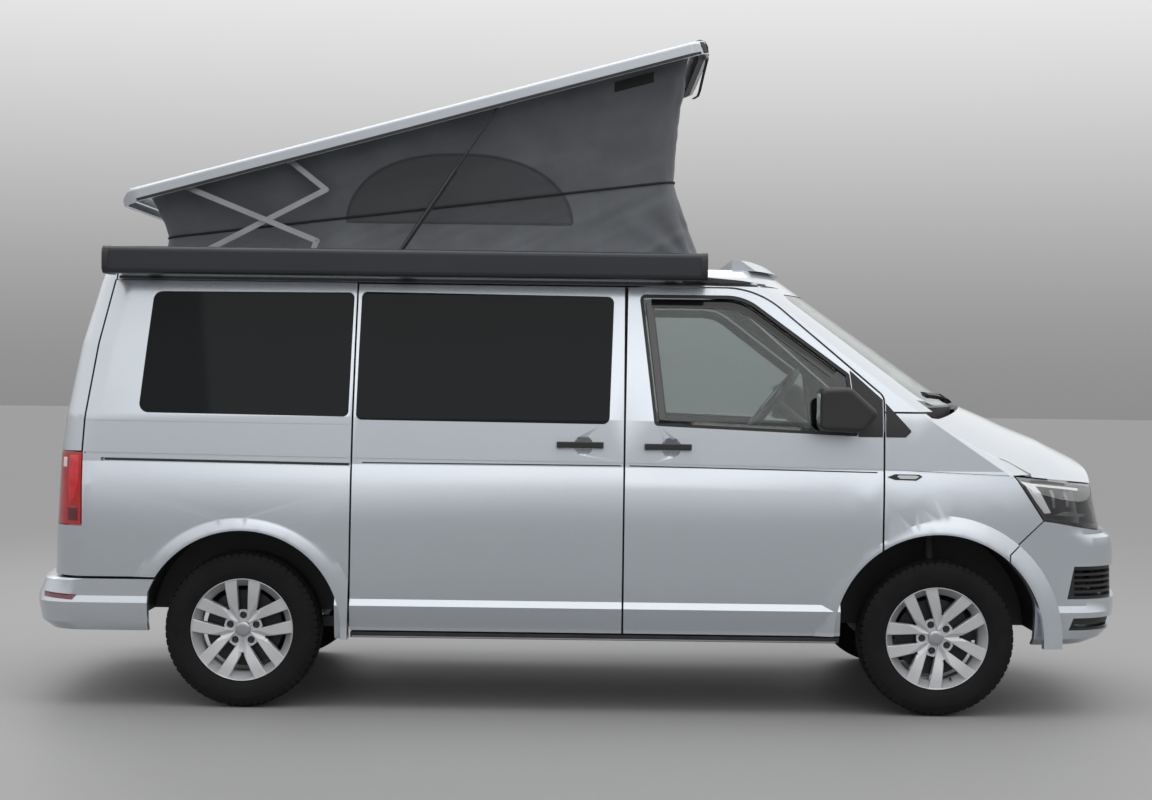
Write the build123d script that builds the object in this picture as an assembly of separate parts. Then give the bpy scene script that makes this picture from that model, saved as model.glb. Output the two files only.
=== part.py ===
from build123d import *
from collections import namedtuple
from math import atan2, cos, degrees, radians, sin, sqrt
import os

# A camper van with its pop-up roof raised. Millimetres. X runs forward, Y to the left, Z up.

# Main sizes
WHEELBASE = 3000
FRONT_OVERHANG = 908
REAR_OVERHANG = 996
TRACK = 1628
TYRE_DIAMETER = 673
TYRE_WIDTH = 205
RIM_DIAMETER = 442
WALL = 55
GAP = 8
SEAT = 0.3
PIN_FIT = 0.06

LENGTH = WHEELBASE + FRONT_OVERHANG + REAR_OVERHANG
X_NOSE = LENGTH / 2
X_TAIL = -LENGTH / 2
X_FRONT_AXLE = X_NOSE - FRONT_OVERHANG
X_REAR_AXLE = X_FRONT_AXLE - WHEELBASE
AXLE_HEIGHT = TYRE_DIAMETER / 2
HALF_TRACK = TRACK / 2
FAR = 1400

# Body shape: plan outlines stacked at these heights
TAIL_RADIUS = 3500
NOSE_RADIUS = 2500
FLANK_RADIUS = 7100
FLANK_BEND_X = 1085
TAIL_CORNER = 180
NOSE_CORNER = 260
ROOF_TOP = 1922
ROOF_BASE = 1846

Row = namedtuple("Row", "height half_width tail_x nose_x")
BODY_ROWS = [
    Row(300, 905, -2370, 2400),
    Row(330, 925, -2376, 2400),
    Row(452, 950, -2378, 2400),
    Row(480, 936, -2378, 2400),
    Row(740, 948, -2374, 2397),
    Row(965, 953, -2364, 2347),
    Row(1079, 944, -2358, 2321),
    Row(1262, 930, -2334, 2290),
    Row(1560, 872, -2272, 2290),
    Row(1845, 803, -2187, 2290),
    Row(ROOF_BASE, 778, -2187, 2290),
    Row(1890, 770, -2172, 2290),
    Row(1914, 748, -2160, 2290),
    Row(ROOF_TOP, 722, -2148, 2290),
]
FRONT_BUMPER_ROWS = [
    Row(306, 880, 0, 2335),
    Row(335, 925, 0, 2395),
    Row(372, 936, 0, 2430),
    Row(452, 950, 0, X_NOSE),
    Row(480, 937, 0, X_NOSE),
    Row(733, 948, 0, 2444),
    Row(775, 949, 0, 2430),
    Row(790, 950, 0, 2404),
    Row(860, 951, 0, 2392),
]
REAR_BUMPER_ROWS = [
    Row(330, 915, -2390, 2300),
    Row(365, 936, -2436, 2300),
    Row(452, 950, X_TAIL, 2300),
    Row(480, 938, -2448, 2300),
    Row(545, 941, -2420, 2300),
    Row(556, 941, -2385, 2300),
]

# Windscreen: a plan arc run along a slope
SCREEN_RADIUS = 1500
SCREEN_TOP_X = 970
SCREEN_TOP_Z = 1859
SCREEN_FOOT_X = 1695
SCREEN_FOOT_Z = 1359
SCREEN_PANE_LOW = 1338
SCREEN_PANE_HIGH = 1822
SCREEN_PANE_LOW_HALF = 765
SCREEN_PANE_HIGH_HALF = 660
SCREEN_PANE_CORNER = 60
COWL_HALF = 796
PILLAR_LOW = 1228
PILLAR_FOOT = 1314
PILLAR_WALL = 60

# Bonnet and fender tops: arcs across the van, each through its crown and its height at the shoulder
ShoulderRow = namedtuple("ShoulderRow", "x crown shoulder")
SHOULDER_ROWS = [
    ShoulderRow(1250, 1486, 1354),
    ShoulderRow(1380, 1465, 1345),
    ShoulderRow(1487, 1440, 1304),
    ShoulderRow(1577, 1405, 1232),
    ShoulderRow(1732, 1346, 1155),
    ShoulderRow(1861, 1293, 1098),
    ShoulderRow(1958, 1249, 1041),
    ShoulderRow(2108, 1191, 985),
    ShoulderRow(2290, 1103, 900),
    ShoulderRow(2388, 1028, 825),
    ShoulderRow(2460, 940, 740),
]
SHOULDER_HALF = 790
BONNET_EDGE_X = 1762
BONNET_EDGE_RADIUS = 1330
BONNET_SIDE_X = 1760
BONNET_OPEN_RADIUS = 8
BONNET_PIN_X = 1750
BONNET_PIN_Z = 1303
BONNET_PIN_Y = 160
BONNET_LUG_LOW = 1266
BONNET_LUG_ROOM = 15
COWL_TOP = 1330
COWL_GAP = 36
BONNET_NOSE_X = 2335
BONNET_THICK = 22
BONNET_REAR_HALF = 800
BONNET_WIDE_X = 1960
BONNET_WAIST_HALF = 776
BONNET_LIP_Z = 1000

# Panel outlines seen from the side, drawn on the middle of the gaps: x, z, corner radius
DOOR_REAR_X = 184
DOOR_FRONT_X = 1300
DOOR_LOW = 341
DOOR_TOP = 1842
SLIDE_REAR_X = -990
TAIL_SEAM_X = -2040
DOOR_LINE = [
    (DOOR_REAR_X, DOOR_LOW, 0),
    (DOOR_FRONT_X, DOOR_LOW, 0),
    (DOOR_FRONT_X, 1378, 50),
    (752, DOOR_TOP, 380),
    (DOOR_REAR_X, DOOR_TOP, 0),
]
DOOR_WINDOW = [
    (312, 1240, 20),
    (1186, 1206, 8),
    (1150, 1474, 20),
    (698, 1808, 230),
    (243, 1808, 25),
]
SLIDE_LINE = [
    (SLIDE_REAR_X - 4, DOOR_LOW, 0),
    (DOOR_REAR_X, DOOR_LOW, 0),
    (DOOR_REAR_X, DOOR_TOP, 0),
    (SLIDE_REAR_X + 10, DOOR_TOP, 0),
]
SLIDE_WINDOW = [
    (-972, 1250, 25),
    (118, 1244, 30),
    (134, 1796, 30),
    (-962, 1804, 25),
]
QUARTER_LINE = [
    (SLIDE_REAR_X - 4, DOOR_LOW - 40, 0),
    (SLIDE_REAR_X - 4, DOOR_LOW, 0),
    (SLIDE_REAR_X + 10, DOOR_TOP, 0),
    (SLIDE_REAR_X + 10, ROOF_BASE, 0),
    (TAIL_SEAM_X, ROOF_BASE, 0),
    (-2095, 1566, 0),
    (-2138, 1239, 0),
    (-2145, 1098, 0),
    (-2145, 784, 0),
    (-2460, 784, 0),
    (-2460, 560, 0),
    (-1820, 560, 0),
    (-1820, DOOR_LOW - 40, 0),
]
QUARTER_WINDOW = [
    (-1907, 1270, 40),
    (-1004, 1262, 25),
    (-994, 1800, 25),
    (-1864, 1795, 40),
]
LEFT_LINE = [
    (DOOR_REAR_X, DOOR_LOW - 40, 0),
    (DOOR_REAR_X, ROOF_BASE, 0),
    *QUARTER_LINE[4:],
]
TAILGATE_LINE = [
    (TAIL_SEAM_X, ROOF_TOP + 20, 0),
    (TAIL_SEAM_X, ROOF_BASE, 0),
    (-2095, 1566, 0),
    (-2138, 1239, 0),
    (-2145, 1098, 0),
    (-2500, 1098, 0),
    (-2500, ROOF_TOP + 20, 0),
]
TAILGATE_LOW = 564
TAILGATE_LOW_HALF = 724
TAILGATE_INNER_X = -2150
TAIL_PANE_LOW = 1190
TAIL_PANE_HIGH = 1730
TAIL_PANE_LOW_HALF = 690
TAIL_PANE_HIGH_HALF = 610
TAIL_PANE_CORNER = 60
LAMP_DEPTH = 45
FENDER_LINE = [
    (DOOR_FRONT_X, 420, 0),
    (DOOR_FRONT_X, 1310, 0),
    (1487, 1310, 0),
    (1577, 1236, 0),
    (1732, 1159, 0),
    (1861, 1102, 0),
    (1960, 1045, 0),
    (1960, 1040, 0),
    (1872, 1040, 0),
    (2001, 850, 0),
    (1847, 705, 0),
    (1847, 420, 0),
]
FENDER_THICK = 14
LAMP_LINE = [
    (1872, 1040, 0),
    (2001, 850, 0),
    (2330, 796, 0),
    (2500, 790, 0),
    (2500, 992, 0),
    (2290, 996, 0),
]
LAMP_INNER_HALF = 440
LENS_THICK = 5
LAMP_DEEP = 90
LAMP_WALL = 12
BUMPER_LINE = [
    (1840, 300, 0),
    (1847, 705, 0),
    (2001, 850, 0),
    (2330, 796, 0),
    (2500, 790, 0),
    (2500, 300, 0),
]
BUMPER_THICK = 40
GRILLE_LOW = 806
GRILLE_HIGH = 990
GRILLE_BARS = 4
GRILLE_BAR = 14
GRILLE_DEEP = 30
INTAKE_LINE = [
    (2112, 510, 0),
    (2500, 510, 0),
    (2500, 652, 0),
    (2140, 652, 0),
]
LOW_INTAKE_LINE = [
    (2120, 374, 0),
    (2500, 374, 0),
    (2500, 428, 0),
    (2140, 428, 0),
]
LOW_INTAKE_INNER = 430
SLAT_SINK = 14
SLAT_DEEP = 24
SLAT_TALL = 11
SLAT_PITCH = 25
SLAT_START_X = 2146

# Lines and lips on the panels
WAIST_LINE = [(-2134, 1094), (-998, 1083), (180, 1076), (1303, 1062), (1860, 1040)]
WAIST_TALL = 9
WAIST_DEEP = 5
RAIL_SLOT = [(-2061, 1068), (-960, 1057)]
RAIL_SLOT_TALL = 15
RAIL_SLOT_DEEP = 24
SEAM_LINE = [(-2160, 1233), (-960, 1228)]
SEAM_TALL = 4
SEAM_DEEP = 3
LIP_INNER = 905
LIP_FLAT = 14
LIP_DROP = 16
LIP_WIDE = 82
FRONT_LIP_OUT = 950
REAR_LIP_OUT = 960
DISH_RADIUS = 46
DISH_DEEP = 12
DISH_SKIN = 940
DOOR_DISH = (385, 1154)
SLIDE_DISH = (7, 1158)

# Wheel openings
FRONT_ARCH = 452
FRONT_ARCH_REACH = 424
REAR_ARCH = 432
REAR_ARCH_REACH = 402
LINER_THICK = 6
LINER_GAP = 3
LINER_OUTER = 880
FRONT_LINER_OUTER = 815
FRONT_LINER_RISE = 14
REAR_LINER_RISE = 60

# Glass
PANE_SINK = 2
PANE_BED = 8
PANE_LEDGE = 16
DOOR_PANE_DEPTH = 20
DOOR_PANE = 5
DOOR_SEAL_OUT = 3
DOOR_SEAL_DEEP = 34
DOOR_SEAL_WIDE = 14

# Floor and frame
FLOOR_LOW = 420
FLOOR_TOP = 460
FLOOR_REAR_X = -2240
RAIL_REAR_X = -2345
FIREWALL_X = 1330
FIREWALL_THICK = 25
FIREWALL_TOP = 1215
SILL_INNER = 800
SILL_OUTER = 850
SILL_LOW = 312
SILL_FRONT_X = 1118
HOUSING_INNER = 620
HOUSING_TOP = 800
HOUSING_HALF = 470
FRONT_HOUSING_INNER = 490
POST_OUT = 62
POST_IN = 105
RAIL_INNER = 395
RAIL_OUTER = 455
RAIL_LOW = 560
RAIL_HIGH = 660
RAIL_END_X = 2335
TOW_Y = 300
TOW_Z = 570
TOW_RADIUS = 9
TOW_FLOOR_X = 2351.6
TOW_ROOM = 14
CARRIER_X = 2190
CARRIER_THICK = 30

# Wheels
RIM_WALL = 12
RIM_FACE_OUT = 905
RIM_FACE_THICK = 24
RIM_RING_INNER = 198
SLOT_WIDE = 44
SLOT_INNER = 88
WINDOW_APEX = 104
WINDOW_OUTER = 197
WINDOW_SPAN = 13.4
SPOKES = 5
FRONT_WHEEL_TURN = 21
CAP_RADIUS = 31
CAP_PROUD = 6
DISC_RADIUS = 165
DISC_THICK = 28
DISC_FACE = 822
HUB_RADIUS = 72
SPINDLE = 22

# Steering: the axis leans in from the lower ball to the top mount
BALL_Y = 745
BALL_Z = 215
MOUNT_Y = 620
MOUNT_Z = 905
BALL_RADIUS = 11
STRUT_RADIUS = 22
KNUCKLE_INNER = 690
TOWER_LOW = 893
TOWER_TOP = 925

# Roof lift: pivot points of the raised linkage (x, z)
ROOF_TILT = 15.34
PIVOT_Z = 1942
ARM_B_FOOT = (-1740, PIVOT_Z)
ARM_CROSS = 380.7
ARM_B_LONG = 676.3
ARM_B_RISE = 27.66
ARM_A_REAR = 381.6
ARM_A_FRONT = 243.6
ARM_A_FALL = 21.7
ARM_WIDE = 24
ARM_THICK = 6
ROOF_PIN = 5
PLANE_ROOF_HIGH = 648
PLANE_INNER = 662
PLANE_B = 676
PLANE_A = 690
PLANE_OUTER = 704
PLANE_FOOT = 716

# Gas struts beside the bellows: foot on the roof, eye under the shell
STRUT_FOOT_X = -837
STRUT_EYE_X = -313
STRUT_PLANE = 694
STRUT_TAB = 8
STRUT_TAB_RADIUS = 9
BARREL_RADIUS = 11
BARREL_FROM = 14
BARREL_TO = 484
BARREL_FLOOR = 24
GAS_ROD_RADIUS = 5
GAS_ROD_LONG = 495
GAS_ROD_FIT = 0.5
EYE_OPEN = 0.5

# Roof shell in its closed place
SHELL_REAR_X = -2029
SHELL_FRONT_X = 640
SHELL_HALF = 745
SHELL_LOW = 1927
SHELL_TOP = 1990
SHELL_SIDE = 16
SHELL_SKIN = 26
SHELL_CORNER = 90
SHELL_EDGE = 16
SHELL_TAIL_TALL = 22
SHELL_TAIL_RUN = 60
BED_REAR_X = -1850
BED_FRONT_X = 470
BED_HALF = 590
BELLOWS_HALF = 634
BELLOWS_WAIST_IN = 62
BELLOWS_THICK = 4
BELLOWS_REAR_X = -1900
BELLOWS_FRONT_X = 540
WAIST_REAR = (-1862, 2042)
WAIST_FRONT = (420, 2322)

# Awning and roof cap
AWNING_REAR_X = -2057
AWNING_FRONT_X = 523
AWNING_LOW = 1866
AWNING_HIGH = 1983
AWNING_OUT = 955
AWNING_IN = 858
AWNING_CORNER = 22


# Door hinges
HINGE_X = 1250
HINGE_Y = -937
HINGE_MID = 900
HINGE_LEAN = 3
HINGE_HEIGHTS = (840, 1020)
HINGE_TALL = 40
HINGE_PIN = 4
HINGE_PIN_OUT = 18
HINGE_ARM_Y = -876
HINGE_ARM_FRONT = 4.4
DOOR_RELIEF = 10
POST_FRONT_X = 1330
SAIL_LINE = [
    (1188, 1204, 0),
    (1392, 1204, 6),
    (1418, 1230, 8),
    (1296, 1362, 0),
    (1152, 1490, 0),
]
SAIL_PROUD = 4
SAIL_GAP = 14
MIRROR_LINE = [
    (999, 1234, 26),
    (1184, 1228, 40),
    (1250, 1309, 30),
    (1126, 1419, 50),
    (999, 1413, 30),
]
MIRROR_OUT = 1150
MIRROR_IN = 985
MIRROR_EDGE = 22
MIRROR_ARM = (1090, 1196, 1240, 1290)
HANDLE_OUT = 985
HANDLE_THICK = 14
HANDLE_TALL = 26
HANDLE_FOOT = 22
DOOR_HANDLE = (270, 470, 1152)
SLIDE_HANDLE = (-107, 93, 1156)
SLIDE_ROLLER_OUT = 900
TAIL_PIN = 5
TAIL_EYE = 9
TAIL_PIN_RISE = 14
TAIL_HINGE_Y = 430
BEAD_HALF = 86
TYRE_BULGE = 282
TREAD_HALF = 86
TYRE_ROUND = 6
RIM_SINK = 3
SPINDLE_TIP = 850
BALL_LONG = 30
SUBFRAME_HALF = 450
SUBFRAME_TOP = 260
AXLE_RADIUS = 32
AXLE_HALF = 700
PIPE_RADIUS = 22
MUFFLER_RADIUS = 75
MUFFLER_DROP = 8
DASH_HALF = 790
DASH_LINE = [
    (FIREWALL_X, 830, 0),
    (1080, 830, 0),
    (1000, 920, 0),
    (985, 1060, 0),
    (1090, 1150, 0),
    (1400, 1235, 0),
    (1400, FIREWALL_TOP, 0),
    (FIREWALL_X, FIREWALL_TOP, 0),
]
SHELF_LINE = [
    (1390, FIREWALL_TOP, 0),
    (1390, 1232, 0),
    (1560, 1285, 0),
    (1560, 1265, 0),
]
SHELF_HALF = 600
STEER_CENTRE = (942, 400, 1335)
STEER_RAKE = (0.628, 0.778)
STEER_RADIUS = 185
STEER_TUBE = 14
SEAT_Y = 410
SEAT_HALF = 250
SEAT_LINE = [
    (330, FLOOR_TOP, 0),
    (770, FLOOR_TOP, 0),
    (770, 760, 0),
    (830, 790, 30),
    (830, 895, 40),
    (400, 870, 60),
    (200, 1460, 40),
    (80, 1430, 40),
    (270, 800, 60),
    (330, 760, 0),
]
HEAD_HALF = 130
HEAD_LINE = [
    (120, 1410, 0),
    (150, 1410, 0),
    (150, 1490, 0),
    (190, 1500, 25),
    (165, 1670, 30),
    (65, 1655, 30),
    (85, 1485, 25),
    (115, 1480, 0),
]
BENCH_LINE = [
    (-1330, FLOOR_TOP, 0),
    (-820, FLOOR_TOP, 0),
    (-780, 780, 30),
    (-780, 880, 40),
    (-1230, 850, 50),
    (-1360, 1420, 40),
    (-1460, 1400, 40),
    (-1330, 820, 0),
]
AWNING_BRACKETS = (-1900, -800, 350)
CAP_LINE = [
    (655, ROOF_TOP, 0),
    (1000, ROOF_TOP, 0),
    (1000, 1930, 0),
    (740, 1968, 60),
    (655, 1970, 0),
]
CAP_HALF = 660
CAP_OVER = 20
LUG_HALF = 16
BELLOWS_CORNER = 70
BELLOWS_TOP_REAR_X = -1925
BELLOWS_TOP_FRONT_X = 560
POSTS = [(130, 240, 440, ROOF_BASE), (1310, 1400, 805, 1226)]


def side_face(corners):
    points = [(x, z) for x, z, radius in corners]
    radii = [radius for x, z, radius in corners]
    if not any(radii):
        return make_face(Polyline(*points, close=True))
    return make_face(FilletPolyline(points, radius=radii, close=True))


def across(face, y_from, y_to):
    """A face drawn in X and Z, run from one Y to another."""
    plane = Plane(origin=(0, y_to, 0), x_dir=(1, 0, 0), z_dir=(0, -1, 0))
    return extrude(plane * face, amount=y_to - y_from)


def lengthwise(face, x_from, x_to):
    """A face drawn in Y and Z, run from one X to another."""
    return extrude(Plane.YZ.offset(x_from) * face, amount=x_to - x_from)


def upright(face, z_from, z_to):
    """A face drawn in X and Y, run from one Z to another."""
    return extrude(Plane.XY.offset(z_from) * face, amount=z_to - z_from)


def block(x_from, x_to, y_from, y_to, z_from, z_to):
    size = Box(x_to - x_from, y_to - y_from, z_to - z_from)
    return Pos((x_from + x_to) / 2, (y_from + y_to) / 2, (z_from + z_to) / 2) * size


def rod_y(x, z, radius, y_from, y_to):
    return across(Pos(x, z) * Circle(radius), y_from, y_to)


def other_side(shape):
    return mirror(shape, about=Plane.XZ)


def both_sides(shape):
    return shape + other_side(shape)


def bisect(centre, one, two, radius):
    """The point of an arc half way between two of its points."""
    way = (one - centre).normalized() + (two - centre).normalized()
    return centre + way.normalized() * radius


def plan_outline(row, inset):
    """The closed plan of the body at one height, of lines and arcs, set in by a wall."""
    half = row.half_width - inset
    tail = TAIL_RADIUS - inset
    nose = NOSE_RADIUS - inset
    flank = FLANK_RADIUS - inset
    tail_corner = TAIL_CORNER - inset
    nose_corner = NOSE_CORNER - inset
    tail_centre = Vector(row.tail_x + TAIL_RADIUS, 0)
    corner_y = tail_corner - half
    corner_x = tail_centre.X - sqrt((tail - tail_corner) ** 2 - corner_y**2)
    corner = Vector(corner_x, corner_y)
    tail_end = tail_centre + (corner - tail_centre) * (tail / (tail - tail_corner))
    side_rear = Vector(corner_x, -half)
    side_front = Vector(FLANK_BEND_X, -half)
    flank_centre = Vector(FLANK_BEND_X, flank - half)
    nose_centre = Vector(row.nose_x - NOSE_RADIUS, 0)
    reach = nose_centre - flank_centre
    to_flank = flank - nose_corner
    to_nose = nose - nose_corner
    along = (to_flank**2 - to_nose**2 + reach.length**2) / (2 * reach.length)
    aside = sqrt(to_flank**2 - along**2)
    unit = reach.normalized()
    turn = Vector(-unit.Y, unit.X)
    front = flank_centre + unit * along + turn * aside
    flank_end = flank_centre + (front - flank_centre) * (flank / to_flank)
    nose_end = nose_centre + (front - nose_centre) * (nose / to_nose)
    right = [
        (tail_end, bisect(corner, tail_end, side_rear, tail_corner), side_rear),
        (side_rear, None, side_front),
        (side_front, bisect(flank_centre, side_front, flank_end, flank), flank_end),
        (flank_end, bisect(front, flank_end, nose_end, nose_corner), nose_end),
    ]
    edges = [ThreePointArc(Vector(tail_end.X, -tail_end.Y), (row.tail_x + inset, 0), tail_end)]
    for start, middle, end in right:
        edges.append(ThreePointArc(start, middle, end) if middle else Line(start, end))
    edges.append(ThreePointArc(nose_end, (row.nose_x - inset, 0), Vector(nose_end.X, -nose_end.Y)))
    for start, middle, end in reversed(right):
        start = Vector(start.X, -start.Y)
        end = Vector(end.X, -end.Y)
        if middle:
            edges.append(ThreePointArc(end, Vector(middle.X, -middle.Y), start))
        else:
            edges.append(Line(end, start))
    return Plane.XY.offset(row.height) * make_face(edges)


def stack(rows, inset=0):
    return loft([plan_outline(row, inset) for row in rows], ruled=True)


SKIN_CACHE = {}


def skin(inset):
    """The whole body block, set in from the outer skin."""
    if inset not in SKIN_CACHE:
        SKIN_CACHE[inset] = stack(BODY_ROWS, inset)
    return SKIN_CACHE[inset]


def layer(cutter, outer, inner):
    """What lies in the cutter between two depths under the skin."""
    return (cutter & skin(outer)) - skin(inner)


def right_layer(face, outer, inner, y_to=-500):
    return layer(across(face, -FAR, y_to), outer, inner)


def behind_screen(inset):
    """Everything behind the windscreen surface, set in from it."""
    slope = Vector(SCREEN_FOOT_X - SCREEN_TOP_X, 0, SCREEN_FOOT_Z - SCREEN_TOP_Z)
    start_z = SCREEN_TOP_Z + 200
    start_x = SCREEN_TOP_X - 200 * slope.X / -slope.Z
    depth = inset * slope.length / -slope.Z
    radius = SCREEN_RADIUS
    edge_x = start_x - depth - radius + sqrt(radius**2 - (radius * 0.8) ** 2)
    half = radius * 0.8
    face = make_face(
        [
            ThreePointArc((edge_x, -half), (start_x - depth, 0), (edge_x, half)),
            Polyline((edge_x, half), (-2 * FAR, half), (-2 * FAR, -half), (edge_x, -half)),
        ]
    )
    return extrude(Plane.XY.offset(start_z) * face, amount=1800, dir=slope.normalized())


BONNET_CACHE = {}


def under_bonnet(drop):
    """Everything below the crowned bonnet surface, from the door forward."""
    if drop in BONNET_CACHE:
        return BONNET_CACHE[drop]
    sections = []
    for row in SHOULDER_ROWS:
        sag = row.crown - row.shoulder
        radius = (sag**2 + SHOULDER_HALF**2) / (2 * sag)
        half = SHOULDER_HALF + 200
        crown = row.crown - drop
        edge = crown - radius + sqrt(radius**2 - half**2)
        face = make_face(
            [
                ThreePointArc((-half, edge), (0, crown), (half, edge)),
                Polyline((half, edge), (half, 300), (-half, 300), (-half, edge)),
            ]
        )
        sections.append(Plane.YZ.offset(row.x) * face)
    BONNET_CACHE[drop] = loft(sections, ruled=True)
    return BONNET_CACHE[drop]


def arch_face(x, radius, reach):
    disc = Pos(x, AXLE_HEIGHT) * Circle(radius)
    strip = Pos(x, AXLE_HEIGHT) * Rectangle(2 * reach, 4 * radius)
    foot = Pos(x, AXLE_HEIGHT - radius) * Rectangle(2 * reach, 2 * radius)
    return (disc & strip) + foot


FRONT_ARCH_CUT = across(arch_face(X_FRONT_AXLE, FRONT_ARCH, FRONT_ARCH_REACH), -FAR, FAR)
REAR_ARCH_CUT = across(arch_face(X_REAR_AXLE, REAR_ARCH, REAR_ARCH_REACH), -FAR, FAR)
nodes = {}


def inside_gap(corners):
    return offset(side_face(corners), amount=-GAP / 2, kind=Kind.INTERSECTION)


def flush_pane(panel, face, run):
    """Beds a flush window in a panel; returns the panel and its glass."""
    hole = offset(face, amount=-PANE_LEDGE, kind=Kind.INTERSECTION)
    pane = offset(face, amount=-SEAT, kind=Kind.INTERSECTION)
    panel = panel - (run(face) - skin(PANE_BED)) - run(hole)
    return panel, layer(run(pane), PANE_SINK, PANE_BED - SEAT)


def right_run(face):
    return across(face, -FAR, -500)


def rear_run(face):
    return lengthwise(face, X_TAIL, TAILGATE_INNER_X + 100)


def rod(start, way, radius, length):
    """A round bar from a point along a direction."""
    return extrude(Plane(origin=start, z_dir=way) * Circle(radius), amount=length)


def trapeze(low, low_half, high, high_half, corner):
    points = [(-low_half, low), (low_half, low), (high_half, high), (-high_half, high)]
    return make_face(FilletPolyline(points, radius=corner, close=True))


def groove(corners, tall, deep):
    """A shallow slot cut into the skin along a line seen from the side."""
    low = [(x, z - tall / 2, 0) for x, z in corners]
    high = [(x, z + tall / 2, 0) for x, z in reversed(corners)]
    return across(side_face(low + high), -FAR, -500) - skin(deep)


def flare(x, arch, proud):
    """The raised lip round a right-hand wheel opening."""
    lip = make_face(
        Polyline((-LIP_INNER, arch), (-proud, arch), (-proud, arch + LIP_FLAT),
                 (-proud + LIP_DROP, arch + LIP_WIDE), (-LIP_INNER, arch + LIP_WIDE), close=True)
    )
    plane = Plane(origin=(x, 0, AXLE_HEIGHT), x_dir=(0, 1, 0), z_dir=(1, 0, 0))
    ring = revolve(plane * lip, axis=Axis((x, 0, AXLE_HEIGHT), (0, 1, 0)))
    return ring


def dish(x, z):
    """A round finger recess behind a pull handle."""
    ball = (DISH_RADIUS**2 + DISH_DEEP**2) / (2 * DISH_DEEP)
    return Pos(x, -DISH_SKIN - ball + DISH_DEEP, z) * Sphere(ball)


waist = groove(WAIST_LINE, WAIST_TALL, WAIST_DEEP)
rail_slot = groove(RAIL_SLOT, RAIL_SLOT_TALL, RAIL_SLOT_DEEP)
seam = groove(SEAM_LINE, SEAM_TALL, SEAM_DEEP)
front_flare = flare(X_FRONT_AXLE, FRONT_ARCH, FRONT_LIP_OUT)
rear_flare = flare(X_REAR_AXLE, REAR_ARCH, REAR_LIP_OUT)


# Side panels, the right hand ones first
door = right_layer(inside_gap(DOOR_LINE), 0, WALL) + (front_flare & right_run(inside_gap(DOOR_LINE)))
door = door - FRONT_ARCH_CUT - waist - dish(*DOOR_DISH)
slide = right_layer(inside_gap(SLIDE_LINE), 0, WALL) - waist - dish(*SLIDE_DISH)
quarter = right_layer(inside_gap(QUARTER_LINE), 0,
    WALL) + (rear_flare & right_run(inside_gap(QUARTER_LINE)))
quarter = quarter - REAR_ARCH_CUT - waist - rail_slot - seam
flank = right_layer(inside_gap(LEFT_LINE), 0, WALL) + (rear_flare & right_run(inside_gap(LEFT_LINE)))
flank = flank - REAR_ARCH_CUT - waist
slide, slide_glass = flush_pane(slide, side_face(SLIDE_WINDOW), right_run)
quarter, quarter_glass = flush_pane(quarter, side_face(QUARTER_WINDOW), right_run)
flank, flank_glass = flush_pane(flank, side_face(SLIDE_WINDOW), right_run)
flank, flank_quarter = flush_pane(flank, side_face(QUARTER_WINDOW), right_run)

# Tail lamps let into the corners of the side panels
lamp_face = offset(side_face([(-2145, 784, 0), (X_TAIL, 784, 0), (X_TAIL, 1098, 0), (-2145, 1098, 0)]),
    amount=-1.5)
lamp = layer(across(lamp_face, -FAR, -TAILGATE_LOW_HALF - GAP / 2), 0, LAMP_DEPTH)
backing_room = block(X_TAIL, -2115, -FAR, -TAILGATE_LOW_HALF - GAP / 2, 754, 1090)
backing = layer(backing_room, LAMP_DEPTH + SEAT, WALL + 20)
behind_lamp = block(X_TAIL - 100, -2145, -FAR, 0, 0, 1098 - GAP / 2) & block(
    X_TAIL - 100, 0, -TAILGATE_LOW_HALF - GAP / 2, 0, 0, FAR
)
quarter = quarter - behind_lamp + backing
flank = flank - behind_lamp + backing
nodes["tail_lamps"] = both_sides(lamp)
nodes["side_right"] = quarter
nodes["side_left"] = other_side(flank)
nodes["side_glass"] = quarter_glass + slide_glass + other_side(flank_glass) + other_side(flank_quarter)

# Front doors
hinge_way = Vector(0, sin(radians(HINGE_LEAN)), cos(radians(HINGE_LEAN)))
hinge_foot = Vector(HINGE_X, HINGE_Y, HINGE_MID)
window = side_face(DOOR_WINDOW)
seal_face = offset(window, amount=-SEAT) - offset(window, amount=-DOOR_SEAL_WIDE)
pane_face = offset(window, amount=-DOOR_SEAL_WIDE - SEAT)
door = door - right_run(window)
relief = make_face(
    Polyline((0, -FAR), (DOOR_REAR_X + GAP / 2, -FAR), (DOOR_REAR_X + GAP / 2, -950),
             (DOOR_REAR_X + GAP / 2 + DOOR_RELIEF, -750), (0, -750), close=True)
)
door = door - upright(relief, 0, FAR + 600)
hinges = []
for height in HINGE_HEIGHTS:
    middle = hinge_foot + hinge_way * ((height - HINGE_MID) / hinge_way.Z)
    half = HINGE_TALL / 2
    pocket = block(
        HINGE_X - 10, DOOR_FRONT_X, middle.Y - HINGE_PIN - 1, -800, height - half - 5, height + half + 5
    )
    long = half + 5 + HINGE_PIN_OUT
    pin = rod(middle - hinge_way * long, hinge_way, HINGE_PIN, 2 * long)
    bore = rod(middle - hinge_way * (long + 1), hinge_way, HINGE_PIN + PIN_FIT, 2 * long + 2)
    door = door - pocket - bore
    arm = block(HINGE_X - 5, HINGE_X + HINGE_ARM_FRONT, middle.Y, HINGE_ARM_Y + 14, height - half,
        height + half)
    arm += block(HINGE_X - 5, POST_FRONT_X, HINGE_ARM_Y, HINGE_ARM_Y + 14, height - half, height + half)
    hinges.append(arm + pin)
door_seal = layer(right_run(seal_face), DOOR_SEAL_OUT, DOOR_SEAL_DEEP)
door_glass = layer(right_run(pane_face), DOOR_PANE_DEPTH, DOOR_PANE_DEPTH + DOOR_PANE)
mirror_body = across(side_face(MIRROR_LINE), -MIRROR_OUT, -MIRROR_IN)
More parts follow.
